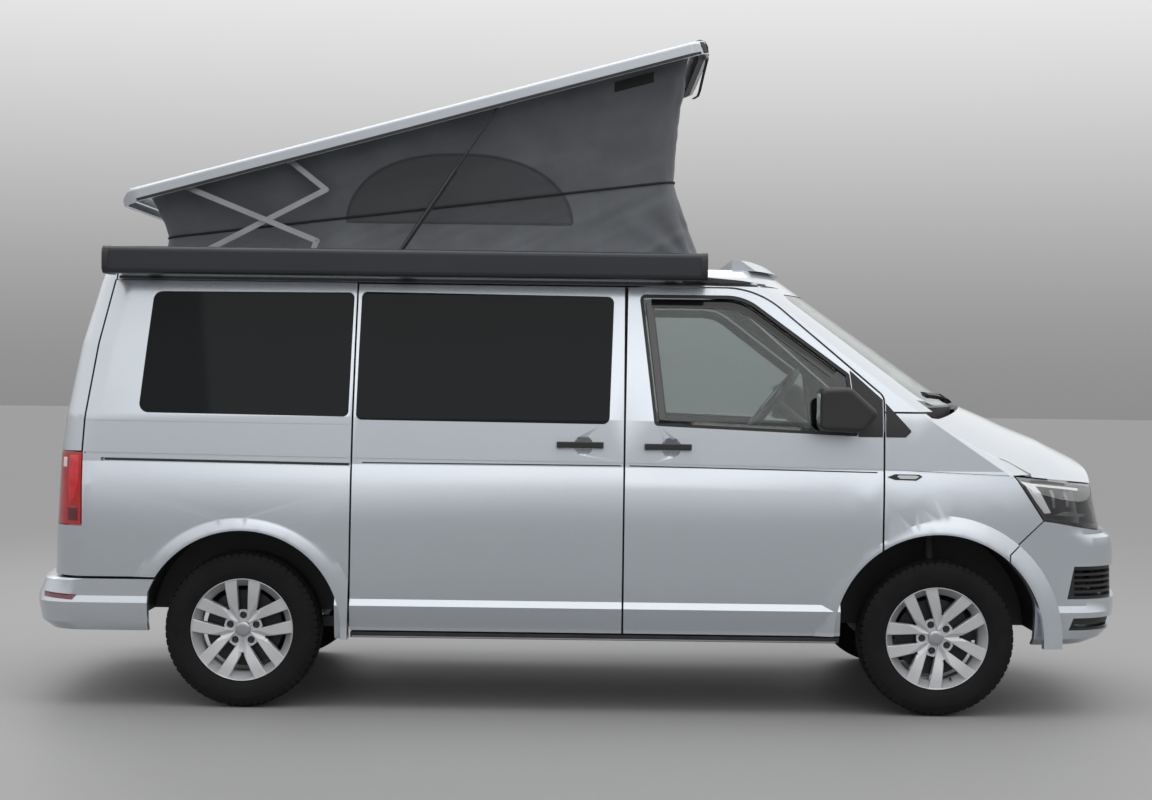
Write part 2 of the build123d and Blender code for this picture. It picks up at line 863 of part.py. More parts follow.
mirror_body = fillet(mirror_body.faces().filter_by(Axis.Y).edges(), MIRROR_EDGE)
arm_from, arm_to, arm_low, arm_high = MIRROR_ARM
mirror_arm = block(arm_from, arm_to, -MIRROR_IN - 20, -880, arm_low, arm_high)
mirror_unit = (mirror_body + mirror_arm) - skin(-SEAT)


def handle(x_from, x_to, z):
    """A pull bar on two feet standing on a right-hand panel."""
    bar = block(x_from, x_to, -HANDLE_OUT, -HANDLE_OUT + HANDLE_THICK, z - HANDLE_TALL / 2,
        z + HANDLE_TALL / 2)
    bar = fillet(bar.edges().filter_by(Axis.X), HANDLE_THICK / 3)
    for x in (x_from, x_to - HANDLE_FOOT):
        bar += block(x, x + HANDLE_FOOT, -HANDLE_OUT + 3, -900, z - HANDLE_TALL / 2 + 3,
            z + HANDLE_TALL / 2 - 3)
    return bar - skin(-SEAT)


sail_run = right_run(side_face(SAIL_LINE))
sail = (sail_run & skin(-SAIL_PROUD)) - skin(-SEAT)
door_sail = sail & block(0, DOOR_FRONT_X - SAIL_GAP / 2, -FAR, 0, 0, 2000)
pillar_sail = sail & block(DOOR_FRONT_X + SAIL_GAP / 2, X_NOSE, -FAR, 0, 0, 2000)
door_trim = door_seal + (mirror_unit + door_sail) + handle(*DOOR_HANDLE)
for name, side in (("right", lambda shape: shape), ("left", other_side)):
    nodes["door_" + name] = side(door)
    nodes["door_glass_" + name] = side(door_glass)
    nodes["door_trim_" + name] = side(door_trim)

# Sliding door, carried on rollers at the sill
for x in (SLIDE_REAR_X + 80, DOOR_REAR_X - 140):
    slide += block(x, x + 60, -SLIDE_ROLLER_OUT, -SILL_OUTER, 380, 420)
nodes["sliding_door"] = slide
nodes["side_trim"] = handle(*SLIDE_HANDLE) + both_sides(pillar_sail)

# Roof, windscreen and their frame
bed = block(BED_REAR_X, BED_FRONT_X, -BED_HALF, BED_HALF, 0, 3000)
roof_room = block(TAIL_SEAM_X + GAP / 2, FAR, -FAR, FAR, ROOF_BASE, ROOF_TOP)
roof_frame = (roof_room & skin(0) & behind_screen(0)) - bed
pillar_room = block(560, FIREWALL_X + 600, -FAR, FAR, PILLAR_LOW, ROOF_BASE)
door_room = across(offset(side_face(DOOR_LINE), amount=GAP / 2, kind=Kind.INTERSECTION), -FAR, FAR)
cab_frame = (pillar_room & skin(0) & behind_screen(0)) - (skin(PILLAR_WALL) & behind_screen(PILLAR_WALL))
cab_frame = cab_frame - door_room
screen_face = trapeze(
    SCREEN_PANE_LOW, SCREEN_PANE_LOW_HALF, SCREEN_PANE_HIGH, SCREEN_PANE_HIGH_HALF, SCREEN_PANE_CORNER
)
screen_hole = offset(screen_face, amount=-PANE_LEDGE)
cab_frame = cab_frame - (lengthwise(screen_face, 600, 2400) - behind_screen(PANE_BED))
cab_frame = cab_frame - lengthwise(screen_hole, 600, 2400)
screen_pane = lengthwise(offset(screen_face, amount=-SEAT), 600, 2400) & behind_screen(PANE_SINK)
nodes["windscreen"] = screen_pane - behind_screen(PANE_BED - SEAT)

# Bonnet, cowl and fenders
edge_half = 1100
edge_back = BONNET_EDGE_X - BONNET_EDGE_RADIUS + sqrt(BONNET_EDGE_RADIUS**2 - edge_half**2)
rear_disc = make_face(
    [
        ThreePointArc((edge_back, -edge_half), (BONNET_EDGE_X, 0), (edge_back, edge_half)),
        Polyline((edge_back, edge_half), (0, edge_half), (0, -edge_half), (edge_back, -edge_half)),
    ]
)
bonnet_plan = make_face(
    Polyline(
        (1200, -BONNET_REAR_HALF), (BONNET_SIDE_X, -BONNET_REAR_HALF), (BONNET_WIDE_X, -BONNET_WAIST_HALF),
        (BONNET_WIDE_X, -FAR), (X_NOSE, -FAR), (X_NOSE, FAR), (BONNET_WIDE_X, FAR),
        (BONNET_WIDE_X, BONNET_WAIST_HALF), (BONNET_SIDE_X, BONNET_REAR_HALF), (1200, BONNET_REAR_HALF),
        close=True,
    )
)
bonnet_band = offset(bonnet_plan, amount=GAP / 2, kind=Kind.INTERSECTION)
bonnet_cut = upright(bonnet_band, BONNET_LIP_Z, 1700)
bonnet_room = upright(offset(bonnet_plan, amount=-GAP / 2, kind=Kind.INTERSECTION) - rear_disc,
    BONNET_LIP_Z, 1700)
bonnet = (bonnet_room & skin(0) & under_bonnet(0)) - under_bonnet(BONNET_THICK)
lip = (bonnet_room & skin(0) & under_bonnet(0)) - skin(BONNET_THICK)
bonnet = bonnet + (lip & block(BONNET_NOSE_X - 160, X_NOSE, -FAR, FAR, BONNET_LIP_Z, 1300))
lamp_clear = offset(side_face(LAMP_LINE), amount=GAP / 2, kind=Kind.INTERSECTION)
bonnet = bonnet - both_sides(across(lamp_clear, -FAR, -LAMP_INNER_HALF + GAP / 2))
cowl_front = bonnet_band - Pos(-COWL_GAP, 0) * rear_disc
cab_frame = cab_frame - upright(cowl_front, PILLAR_LOW, ROOF_BASE)
pillar_foot = block(0, X_NOSE, -FAR, -COWL_HALF, 0, PILLAR_FOOT)
cab_frame = cab_frame - both_sides(pillar_foot)
cowl_room = block(FIREWALL_X, X_NOSE, -COWL_HALF, COWL_HALF, 0, COWL_TOP)
nodes["cowl"] = cab_frame & cowl_room
nodes["cab_frame"] = cab_frame - cowl_room
fender_room = right_run(inside_gap(FENDER_LINE))
fender_block = fender_room & skin(0)
fender_core = fender_room & skin(FENDER_THICK)
fender = (fender_block & under_bonnet(0)) + (fender_block & behind_screen(0))
fender = fender - (fender_core & under_bonnet(FENDER_THICK)) - (fender_core & behind_screen(FENDER_THICK))
fender = fender + (front_flare & fender_room)
fender = fender - FRONT_ARCH_CUT - bonnet_cut - waist
nodes["front_fenders"] = both_sides(fender)

# Nose: lamps, bumper, grille
bumper_block = stack(FRONT_BUMPER_ROWS)
bumper_inside = stack(FRONT_BUMPER_ROWS, BUMPER_THICK)
bumper_cut = across(offset(side_face(BUMPER_LINE), amount=-GAP / 4, kind=Kind.INTERSECTION), -FAR, FAR)
bumper = (bumper_cut & bumper_block) - bumper_inside - FRONT_ARCH_CUT
bumper += (front_flare & bumper_cut) + other_side(front_flare & bumper_cut) - FRONT_ARCH_CUT
openings = [(side_face(INTAKE_LINE), FAR), (side_face(LOW_INTAKE_LINE), -LOW_INTAKE_INNER)]
slats = []
for face, inner in openings:
    hole = across(face, -FAR, inner)
    bumper = bumper - hole - other_side(hole)
    fill = across(offset(face, amount=-SEAT, kind=Kind.INTERSECTION), -FAR, inner)
    fill = (fill & stack(FRONT_BUMPER_ROWS, SLAT_SINK)) - stack(FRONT_BUMPER_ROWS, SLAT_SINK + SLAT_DEEP)
    box_size = fill.bounding_box()
    gap_from = box_size.min.Z + SLAT_TALL
    while gap_from < box_size.max.Z - SLAT_PITCH:
        fill -= block(SLAT_START_X, X_NOSE, -FAR, FAR, gap_from, gap_from + SLAT_PITCH - SLAT_TALL)
        gap_from += SLAT_PITCH
    slats.append(fill if inner > 0 else both_sides(fill))
nodes["front_bumper"] = bumper
lamp_face = offset(side_face(LAMP_LINE), amount=-GAP / 4, kind=Kind.INTERSECTION)
lamp_room = across(lamp_face, -FAR, -LAMP_INNER_HALF)
lamp_hollow = across(offset(lamp_face, amount=-LAMP_WALL, kind=Kind.INTERSECTION), -FAR,
    -LAMP_INNER_HALF - LAMP_WALL)
behind_lens = LENS_THICK + SEAT
lens = (lamp_room & skin(0) & under_bonnet(0)) - (skin(LENS_THICK) & under_bonnet(LENS_THICK))
housing = (lamp_room & skin(behind_lens) & under_bonnet(behind_lens)) - skin(LAMP_DEEP)
housing = housing - (lamp_hollow - skin(LAMP_DEEP - LAMP_WALL))
nodes["headlamp_lenses"] = both_sides(lens)
nodes["headlamp_housings"] = both_sides(housing)
grille_room = block(X_NOSE - 400, X_NOSE, -LAMP_INNER_HALF + GAP / 2, LAMP_INNER_HALF - GAP / 2, GRILLE_LOW,
    GRILLE_HIGH)
grille_shell = layer(grille_room, 2, GRILLE_DEEP)
step = (GRILLE_HIGH - GRILLE_LOW - GRILLE_BAR) / GRILLE_BARS
for number in range(GRILLE_BARS):
    low = GRILLE_LOW + GRILLE_BAR + number * step
    grille_shell -= block(
        X_NOSE - 500, X_NOSE, -LAMP_INNER_HALF + 24, LAMP_INNER_HALF - 24, low, low + step - GRILLE_BAR
    )
tow_way = lengthwise(Pos(-TOW_Y, TOW_Z) * Circle(TOW_ROOM), TOW_FLOOR_X, X_NOSE + 1)
nodes["front_grille"] = grille_shell + (slats[0] - tow_way) + slats[1]

# Tailgate
tailgate_room = across(inside_gap(TAILGATE_LINE), -FAR, FAR)
low_room = block(
    X_TAIL, TAILGATE_INNER_X, -TAILGATE_LOW_HALF + GAP / 2, TAILGATE_LOW_HALF - GAP / 2, TAILGATE_LOW, 1120
)
tailgate = layer(tailgate_room + low_room, 0, WALL)
tailgate += (tailgate_room & skin(0) & block(X_TAIL, TAIL_SEAM_X, -FAR, FAR, ROOF_TOP - WALL, ROOF_TOP))
tail_face = trapeze(TAIL_PANE_LOW, TAIL_PANE_LOW_HALF, TAIL_PANE_HIGH, TAIL_PANE_HIGH_HALF,
    TAIL_PANE_CORNER)
tailgate, tail_glass = flush_pane(tailgate, tail_face, rear_run)
axis_x = TAIL_SEAM_X
axis_z = ROOF_TOP + TAIL_PIN_RISE
lug_face = (Pos(axis_x, axis_z) * Circle(TAIL_EYE)) + make_face(
    Polyline((axis_x, axis_z + TAIL_EYE), (axis_x + 8, axis_z + 5), (axis_x + 9, ROOF_TOP + 4),
        (axis_x + 30, ROOF_TOP + 1),
             (axis_x + 30, ROOF_TOP - 6), (axis_x + 5, ROOF_TOP - 6), (axis_x, axis_z - 4), close=True)
)
eye_face = (Pos(axis_x, axis_z) * Circle(TAIL_EYE)) + make_face(
    Polyline((axis_x, axis_z + TAIL_EYE), (axis_x - 60, ROOF_TOP - 3), (axis_x - 60, ROOF_TOP - 20),
             (axis_x - 14, ROOF_TOP - 6), (axis_x, axis_z - TAIL_EYE), close=True)
)
for side in (-1, 1):
    centre = side * TAIL_HINGE_Y
    pin = rod_y(axis_x, axis_z, TAIL_PIN, centre - 34, centre + 34)
    roof_frame += across(lug_face, centre - 10, centre + 10) + pin
    for start in (centre - 34, centre + 11):
        tailgate += across(eye_face, start, start + 23)
    tailgate -= rod_y(axis_x, axis_z, TAIL_PIN + PIN_FIT, centre - 40, centre + 40)
    tailgate -= block(axis_x - 14, axis_x + 60, centre - 10.5, centre + 10.5, ROOF_TOP - 30, ROOF_TOP + 60)
nodes["tailgate"] = tailgate
nodes["tailgate_glass"] = tail_glass

# Bonnet hinges at its rear edge
for side in (-1, 1):
    centre = side * BONNET_PIN_Y
    pin = rod_y(BONNET_PIN_X, BONNET_PIN_Z, 4, centre - 24, centre + 24)
    lug = rod_y(BONNET_PIN_X, BONNET_PIN_Z, BONNET_OPEN_RADIUS, centre - 8, centre + 8)
    lug += block(BONNET_PIN_X - 6, BONNET_PIN_X + 6, centre - 8, centre + 8, BONNET_LUG_LOW, BONNET_PIN_Z)
    lug += block(BONNET_PIN_X - 45, BONNET_PIN_X + 6, centre - 8, centre + 8, BONNET_LUG_LOW,
        BONNET_LUG_LOW + 20)
    nodes["cowl"] += lug + pin
    for start in (centre - 24, centre + 9):
        eye = rod_y(BONNET_PIN_X, BONNET_PIN_Z, BONNET_OPEN_RADIUS, start, start + 15)
        eye += block(BONNET_PIN_X, BONNET_EDGE_X + 20, start, start + 15, BONNET_PIN_Z - 6,
            BONNET_PIN_Z + 2)
        bonnet += eye
    bonnet -= rod_y(BONNET_PIN_X, BONNET_PIN_Z, 4 + PIN_FIT, centre - 30, centre + 30)
    bonnet -= block(
        BONNET_PIN_X - 20, BONNET_PIN_X + BONNET_LUG_ROOM, centre - 8.9, centre + 8.9, BONNET_LUG_LOW,
        BONNET_PIN_Z + 40
    )
nodes["bonnet"] = bonnet

# Rear bumper
rear_block = stack(REAR_BUMPER_ROWS)
rear_inside = stack(REAR_BUMPER_ROWS, BUMPER_THICK)
rear_room = block(X_TAIL - 50, -1825, -FAR, FAR, 300, 553)
nodes["rear_bumper"] = (rear_room & rear_block) - rear_inside - REAR_ARCH_CUT

# Floor, sills, posts and rails in one welded frame
frame = block(FLOOR_REAR_X, FIREWALL_X, -SILL_OUTER, SILL_OUTER, FLOOR_LOW, FLOOR_TOP)
frame += block(FIREWALL_X, FIREWALL_X + FIREWALL_THICK, -SILL_OUTER + 15, SILL_OUTER - 15, FLOOR_LOW,
    FIREWALL_TOP)
for side in (-1, 1):
    for x, inner in ((X_REAR_AXLE, HOUSING_INNER), (X_FRONT_AXLE, FRONT_HOUSING_INNER)):
        y_in, y_out = sorted((side * inner, side * FAR))
        frame -= block(x - HOUSING_HALF, x + HOUSING_HALF, y_in, y_out, 0, HOUSING_TOP)
    y_in, y_out = sorted((side * SILL_INNER, side * SILL_OUTER))
    frame += block(X_REAR_AXLE + HOUSING_HALF, X_FRONT_AXLE - HOUSING_HALF, y_in, y_out, SILL_LOW,
        FLOOR_TOP)
    y_in, y_out = sorted((side * RAIL_INNER, side * RAIL_OUTER))
    frame += block(FIREWALL_X, RAIL_END_X, y_in, y_out, RAIL_LOW, RAIL_HIGH)
    frame += block(RAIL_REAR_X, FLOOR_REAR_X + 400, y_in, y_out, FLOOR_LOW - 20, FLOOR_TOP)
    frame += block(X_FRONT_AXLE - 80, X_FRONT_AXLE + 80, y_in, y_out, RAIL_HIGH, TOWER_TOP)
    y_in, y_out = sorted((side * RAIL_INNER, side * (MOUNT_Y + 40)))
    frame += block(X_FRONT_AXLE - 80, X_FRONT_AXLE + 80, y_in, y_out, TOWER_LOW, TOWER_TOP)
    frame -= rod(
        (X_FRONT_AXLE, side * BALL_Y, BALL_Z), (0, side * (MOUNT_Y - BALL_Y), MOUNT_Z - BALL_Z),
        BALL_RADIUS + PIN_FIT, 800
    )
strip_top = DOOR_LOW - GAP / 2
door_strip = block(DOOR_REAR_X + GAP / 2, SILL_FRONT_X, -FAR, -SILL_OUTER, SILL_LOW, strip_top)
slide_strip = block(SLIDE_REAR_X + GAP / 2, DOOR_REAR_X + 50, -FAR, -SILL_OUTER, SILL_LOW, strip_top)
frame += both_sides(door_strip & skin(0)) + (slide_strip & skin(0))
for x_from, x_to, z_low, z_high in POSTS:
    post = layer(block(x_from, x_to, -FAR, -500, z_low, z_high), POST_OUT, POST_IN)
    frame += both_sides(post)
frame += block(CARRIER_X, CARRIER_X + CARRIER_THICK, -700, 700, 540, 780)
frame += both_sides(hinges[0] + hinges[1]) - nodes["door_right"] - nodes["door_left"]
beam = (block(1900, X_NOSE, -620, 620, 520, 620) & stack(FRONT_BUMPER_ROWS, BUMPER_THICK + SEAT)) - stack(
    FRONT_BUMPER_ROWS, BUMPER_THICK + 60
)
frame += beam & block(RAIL_END_X - 200, X_NOSE, -620, 620, 520, 620)
frame -= lengthwise(Pos(-TOW_Y, TOW_Z) * Circle(TOW_RADIUS), TOW_FLOOR_X, X_NOSE)
rear_beam = (block(X_TAIL, -2200, -620, 620, 425, 500) & stack(REAR_BUMPER_ROWS,
    BUMPER_THICK + SEAT)) - stack(
    REAR_BUMPER_ROWS, BUMPER_THICK + 60
)
frame += rear_beam
nodes["body_frame"] = frame

# Wheels
def wheel_turn(face, y):
    """A face drawn as (y, radius) turned about the wheel axis of the right front wheel place at x = 0."""
    plane = Plane(origin=(0, y, 0), x_dir=(0, 1, 0), z_dir=(1, 0, 0))
    return revolve(plane * face, axis=Axis((0, y, 0), (0, 1, 0)))


bead = RIM_DIAMETER / 2 + SEAT
half_tyre = TYRE_WIDTH / 2
radius = TYRE_DIAMETER / 2
tyre_face = make_face(
    [
        Line((-BEAD_HALF, bead), (BEAD_HALF, bead)),
        ThreePointArc((BEAD_HALF, bead), (half_tyre, TYRE_BULGE), (TREAD_HALF, radius - TYRE_ROUND)),
        ThreePointArc((TREAD_HALF, radius - TYRE_ROUND), (0, radius), (-TREAD_HALF, radius - TYRE_ROUND)),
        ThreePointArc((-TREAD_HALF, radius - TYRE_ROUND), (-half_tyre, TYRE_BULGE), (-BEAD_HALF, bead)),
    ]
)
tyre = wheel_turn(tyre_face, -HALF_TRACK)
rim_half = RIM_FACE_OUT - HALF_TRACK
rim_radius = RIM_DIAMETER / 2
barrel = make_face(
    Polyline((-rim_half, rim_radius - RIM_WALL), (-rim_half, rim_radius), (rim_half, rim_radius),
             (rim_half, rim_radius - RIM_WALL), close=True)
)
rim = wheel_turn(barrel, -HALF_TRACK)
face_y = -RIM_FACE_OUT + RIM_SINK
rim += rod_y(0, 0, rim_radius - RIM_WALL / 2, face_y, face_y + RIM_FACE_THICK)
for number in range(SPOKES):
    angle = 90 + number * 360 / SPOKES
    slot = Rot(0, 0, angle) * Pos((SLOT_INNER + RIM_RING_INNER) / 2,
        0) * Rectangle(RIM_RING_INNER - SLOT_INNER, SLOT_WIDE)
    slot += Rot(0, 0, angle) * Pos(SLOT_INNER, 0) * Circle(SLOT_WIDE / 2)
    angle += 180 / SPOKES
    tip = (WINDOW_APEX * cos(radians(angle)), WINDOW_APEX * sin(radians(angle)))
    rim_points = [
        (WINDOW_OUTER * cos(radians(angle + turn)), WINDOW_OUTER * sin(radians(angle + turn)))
        for turn in (-WINDOW_SPAN, 0, WINDOW_SPAN)
    ]
    gore = make_face([ThreePointArc(*rim_points), Line(rim_points[2], tip), Line(tip, rim_points[0])])
    rim -= across(slot, face_y - 20, face_y + RIM_FACE_THICK + 1)
    rim -= across(gore, face_y - 20, face_y + RIM_FACE_THICK + 1)
rim += rod_y(0, 0, CAP_RADIUS, face_y - CAP_PROUD, face_y)
rim += rod_y(0, 0, HUB_RADIUS, face_y + RIM_FACE_THICK, -DISC_FACE)
rim += rod_y(0, 0, DISC_RADIUS, -DISC_FACE, -DISC_FACE + DISC_THICK)
rim -= rod_y(0, 0, SPINDLE + PIN_FIT, -SPINDLE_TIP - 2, 0)
for end_name, x, turn in (("front", X_FRONT_AXLE, FRONT_WHEEL_TURN), ("rear", X_REAR_AXLE, 0)):
    place = Pos(x, 0, AXLE_HEIGHT) * Rot(0, -turn, 0)
    for name, side in (("right", lambda shape: shape), ("left", other_side)):
        nodes["tyre_" + end_name + "_" + name] = side(place * tyre)
        nodes["rim_" + end_name + "_" + name] = side(place * rim)

# Knuckles with their struts and stub axles
steer_way = Vector(0, BALL_Y - MOUNT_Y, MOUNT_Z - BALL_Z).normalized()
ball = Vector(X_FRONT_AXLE, -BALL_Y, BALL_Z)


def on_steer(height):
    return ball + steer_way * ((height - BALL_Z) / steer_way.Z)


knuckle = block(X_FRONT_AXLE - 55, X_FRONT_AXLE + 55, -BALL_Y - 28, -KNUCKLE_INNER, BALL_Z - 8, 420)
knuckle += rod_y(X_FRONT_AXLE, AXLE_HEIGHT, SPINDLE, -SPINDLE_TIP, -KNUCKLE_INNER - 10)
knuckle += rod(on_steer(400), steer_way, STRUT_RADIUS, (TOWER_LOW - 12 - 400) / steer_way.Z)
knuckle += rod(on_steer(500), steer_way, BALL_RADIUS, (TOWER_TOP - 5 - 500) / steer_way.Z)
knuckle -= rod(on_steer(BALL_Z - 60), steer_way, BALL_RADIUS + PIN_FIT, 60 + BALL_LONG)
nodes["knuckle_right"] = knuckle
nodes["knuckle_left"] = other_side(knuckle)
arm = block(X_FRONT_AXLE - 35, X_FRONT_AXLE + 35, -BALL_Y - 25, -SUBFRAME_HALF + 10, BALL_Z - 35,
    BALL_Z - 15)
arm += rod(on_steer(BALL_Z - 25), steer_way, BALL_RADIUS, BALL_LONG + 15)
subframe = block(
    X_FRONT_AXLE - 90, X_FRONT_AXLE + 90, -SUBFRAME_HALF, SUBFRAME_HALF, BALL_Z - 35, SUBFRAME_TOP
)
subframe += both_sides(arm + block(X_FRONT_AXLE - 40, X_FRONT_AXLE + 40, -RAIL_OUTER, -RAIL_INNER,
    SUBFRAME_TOP - 5, RAIL_LOW))
nodes["front_subframe"] = subframe
axle = rod_y(X_REAR_AXLE, AXLE_HEIGHT, AXLE_RADIUS, -AXLE_HALF, AXLE_HALF)
axle += rod_y(X_REAR_AXLE, AXLE_HEIGHT, SPINDLE, -SPINDLE_TIP, SPINDLE_TIP)
axle += both_sides(block(X_REAR_AXLE - 30, X_REAR_AXLE + 540, -580, -520, AXLE_HEIGHT - 20,
    AXLE_HEIGHT + 25))
axle += both_sides(block(X_REAR_AXLE + 480, X_REAR_AXLE + 540, -580, -520, AXLE_HEIGHT, FLOOR_LOW))
nodes["rear_axle"] = axle

# Wheel liners
liners = []
for x, arch, inner, outer, rise in (
    (X_FRONT_AXLE, FRONT_ARCH, FRONT_HOUSING_INNER, FRONT_LINER_OUTER, FRONT_LINER_RISE),
    (X_REAR_AXLE, REAR_ARCH, HOUSING_INNER, LINER_OUTER, REAR_LINER_RISE),
):
    upper = Pos(x, AXLE_HEIGHT + rise + FAR / 2) * Rectangle(2 * FAR, FAR)
    outer_face = (Pos(x, AXLE_HEIGHT) * Circle(arch + LINER_GAP + LINER_THICK)) & upper
    inner_face = (Pos(x, AXLE_HEIGHT) * Circle(arch + LINER_GAP)) & upper
    liner = across(outer_face, -outer, -inner) - across(inner_face, -outer - 1, -inner - LINER_THICK)
    if x > 0:
        liner -= rod(on_steer(600), steer_way, STRUT_RADIUS + 20, 300)
    liners.append(both_sides(liner))
nodes["wheel_liners"] = liners[0] + liners[1]


# Under the floor
nodes["engine"] = block(1420, 1960, -340, 340, SUBFRAME_TOP, 940)
nodes["fuel_tank"] = fillet(block(-300, 700, 60, 700, 250, FLOOR_LOW).edges().filter_by(Axis.Z), 60)
exhaust = lengthwise(Pos(-220, FLOOR_LOW - PIPE_RADIUS) * Circle(PIPE_RADIUS), -2100, 1300)
exhaust += lengthwise(Pos(-220, FLOOR_LOW - MUFFLER_RADIUS - MUFFLER_DROP) * Circle(MUFFLER_RADIUS), -600,
    -150)
nodes["exhaust"] = exhaust

# Cab and living space
dash = across(side_face(DASH_LINE), -DASH_HALF, DASH_HALF)
dash += across(side_face(SHELF_LINE), -SHELF_HALF, SHELF_HALF)
wheel_plane = Plane(origin=STEER_CENTRE, z_dir=(-STEER_RAKE[1], 0, STEER_RAKE[0]))
steer_wheel = wheel_plane * Torus(STEER_RADIUS, STEER_TUBE)
steer_wheel += wheel_plane * Cylinder(60, 40)
for angle in (0, 120, 240):
    spoke = Rot(0, 0, angle) * Pos(STEER_RADIUS / 2, 0, 0) * Box(STEER_RADIUS, 34, 16)
    steer_wheel += wheel_plane * spoke
steer_wheel += wheel_plane * (Pos(0, 0, -180) * Cylinder(28, 360))
nodes["dashboard"] = dash
nodes["steering_wheel"] = steer_wheel - dash
seat = across(side_face(SEAT_LINE), -SEAT_HALF, SEAT_HALF)
head = across(side_face(HEAD_LINE), -HEAD_HALF, HEAD_HALF)
seat = Pos(0, -SEAT_Y, 0) * (seat + head)
nodes["front_seats"] = both_sides(seat)
nodes["rear_bench"] = across(side_face(BENCH_LINE), -600, 380)
kitchen = block(-960, 60, 430, 800, FLOOR_TOP, 1290)
nodes["kitchen_unit"] = kitchen

# Awning case on brackets
case = make_face(
    FilletPolyline((-AWNING_OUT, AWNING_LOW), (-AWNING_IN, AWNING_LOW), (-AWNING_IN, AWNING_HIGH),
                   (-AWNING_OUT, AWNING_HIGH), radius=AWNING_CORNER, close=True)
)
awning = lengthwise(case, AWNING_REAR_X, AWNING_FRONT_X)
for x in AWNING_BRACKETS:
    awning += block(x, x + 60, -AWNING_IN - 20, -740, AWNING_LOW + 24, AWNING_LOW + 34) - skin(0)
nodes["awning"] = awning

# Roof cap over the windscreen top
cap = across(side_face(CAP_LINE), -CAP_HALF, CAP_HALF) & behind_screen(-CAP_OVER)
nodes["roof_cap"] = cap - block(0, 2000, -FAR, FAR, 0, ROOF_TOP)

# Raising roof: closed shell, then its raised place
cross = Vector(ARM_B_FOOT[0] + ARM_CROSS * cos(radians(ARM_B_RISE)),
    ARM_B_FOOT[1] + ARM_CROSS * sin(radians(ARM_B_RISE)))
elbow_b = Vector(ARM_B_FOOT[0] + ARM_B_LONG * cos(radians(ARM_B_RISE)),
    ARM_B_FOOT[1] + ARM_B_LONG * sin(radians(ARM_B_RISE)))
fall = Vector(cos(radians(ARM_A_FALL)), -sin(radians(ARM_A_FALL)))
elbow_a = cross + fall * ARM_A_FRONT
top_a = cross - fall * ARM_A_REAR
cross_shut = ARM_B_FOOT[0] + ARM_CROSS
top_a_shut = Vector(cross_shut - ARM_A_REAR, PIVOT_Z)
elbow_a_shut = Vector(cross_shut + ARM_A_FRONT, PIVOT_Z)
elbow_b_shut = Vector(ARM_B_FOOT[0] + ARM_B_LONG, PIVOT_Z)
tilt = radians(ROOF_TILT)


def to_shut(point):
    """A raised point carried back to the closed roof."""
    move = point - top_a
    return top_a_shut + Vector(move.X * cos(tilt) + move.Y * sin(tilt),
        move.Y * cos(tilt) - move.X * sin(tilt))


def to_raised(point):
    move = point - top_a_shut
    return top_a + Vector(move.X * cos(tilt) - move.Y * sin(tilt), move.Y * cos(tilt) + move.X * sin(tilt))


def even_pivot(one, two):
    """The point at pivot height that is as far from one place as from the other."""
    middle = (one + two) * 0.5
    gap = two - one
    return Vector(middle.X + (middle.Y - PIVOT_Z) * gap.Y / gap.X, PIVOT_Z)


foot_low = even_pivot(elbow_a, elbow_a_shut)
high_shut = even_pivot(to_shut(elbow_b), elbow_b_shut)
high = to_raised(high_shut)


def bar_face(one, two):
    way = two - one
    turn = degrees(atan2(way.Y, way.X))
    middle = (one + two) * 0.5
    return Pos(middle.X, middle.Y) * Rot(0, 0, turn) * SlotCenterToCenter(way.length, ARM_WIDE)


def bar(one, two, plane):
    return across(bar_face(one, two), -plane - ARM_THICK, -plane)


def pin_at(point, plane_from, plane_to, extra=0.0):
    return rod_y(point.X, point.Y, ROOF_PIN + extra, -plane_to, -plane_from)


foot_b = Vector(*ARM_B_FOOT)
arm_b = bar(foot_b, elbow_b, PLANE_B) - pin_at(foot_b, PLANE_B - 1, PLANE_B + 9, PIN_FIT)
arm_b += pin_at(cross, PLANE_B, PLANE_A + ARM_THICK) + pin_at(elbow_b, PLANE_INNER, PLANE_B + ARM_THICK)
arm_a = bar(top_a, elbow_a, PLANE_A) - pin_at(cross, PLANE_A - 1, PLANE_A + 9, PIN_FIT)
arm_a -= pin_at(top_a, PLANE_A - 1, PLANE_A + 9, PIN_FIT)
arm_a += pin_at(elbow_a, PLANE_A, PLANE_OUTER - EYE_OPEN)
link_low = bar(foot_low, elbow_a, PLANE_OUTER)
link_high = bar(high, elbow_b, PLANE_INNER)
for point in (foot_low, elbow_a):
    link_low -= pin_at(point, PLANE_OUTER - 1, PLANE_OUTER + 9, PIN_FIT)
for point in (high, elbow_b):
    link_high -= pin_at(point, PLANE_INNER - 1, PLANE_INNER + 9, PIN_FIT)
nodes["roof_arms_b"] = both_sides(arm_b)
nodes["roof_arms_a"] = both_sides(arm_a)
nodes["roof_links_low"] = both_sides(link_low)
nodes["roof_links_high"] = both_sides(link_high)


def lug(point, plane, z_from, z_to):
    plate = block(point.X - LUG_HALF, point.X + LUG_HALF, -plane - ARM_THICK, -plane, z_from, z_to)
    return plate


lugs = lug(foot_b, PLANE_INNER, ROOF_TOP - 6, PIVOT_Z + 12) + pin_at(foot_b, PLANE_INNER,
    PLANE_B + ARM_THICK)
lugs += lug(foot_low, PLANE_FOOT, ROOF_TOP - 8, PIVOT_Z + 12) + pin_at(foot_low, PLANE_OUTER,
    PLANE_FOOT + ARM_THICK)
strut_foot = Vector(STRUT_FOOT_X, PIVOT_Z)
strut_eye_shut = Vector(STRUT_EYE_X, PIVOT_Z)
strut_eye = to_raised(strut_eye_shut)
strut_way = (strut_eye - strut_foot).normalized()
strut_mid = -STRUT_PLANE - STRUT_TAB / 2


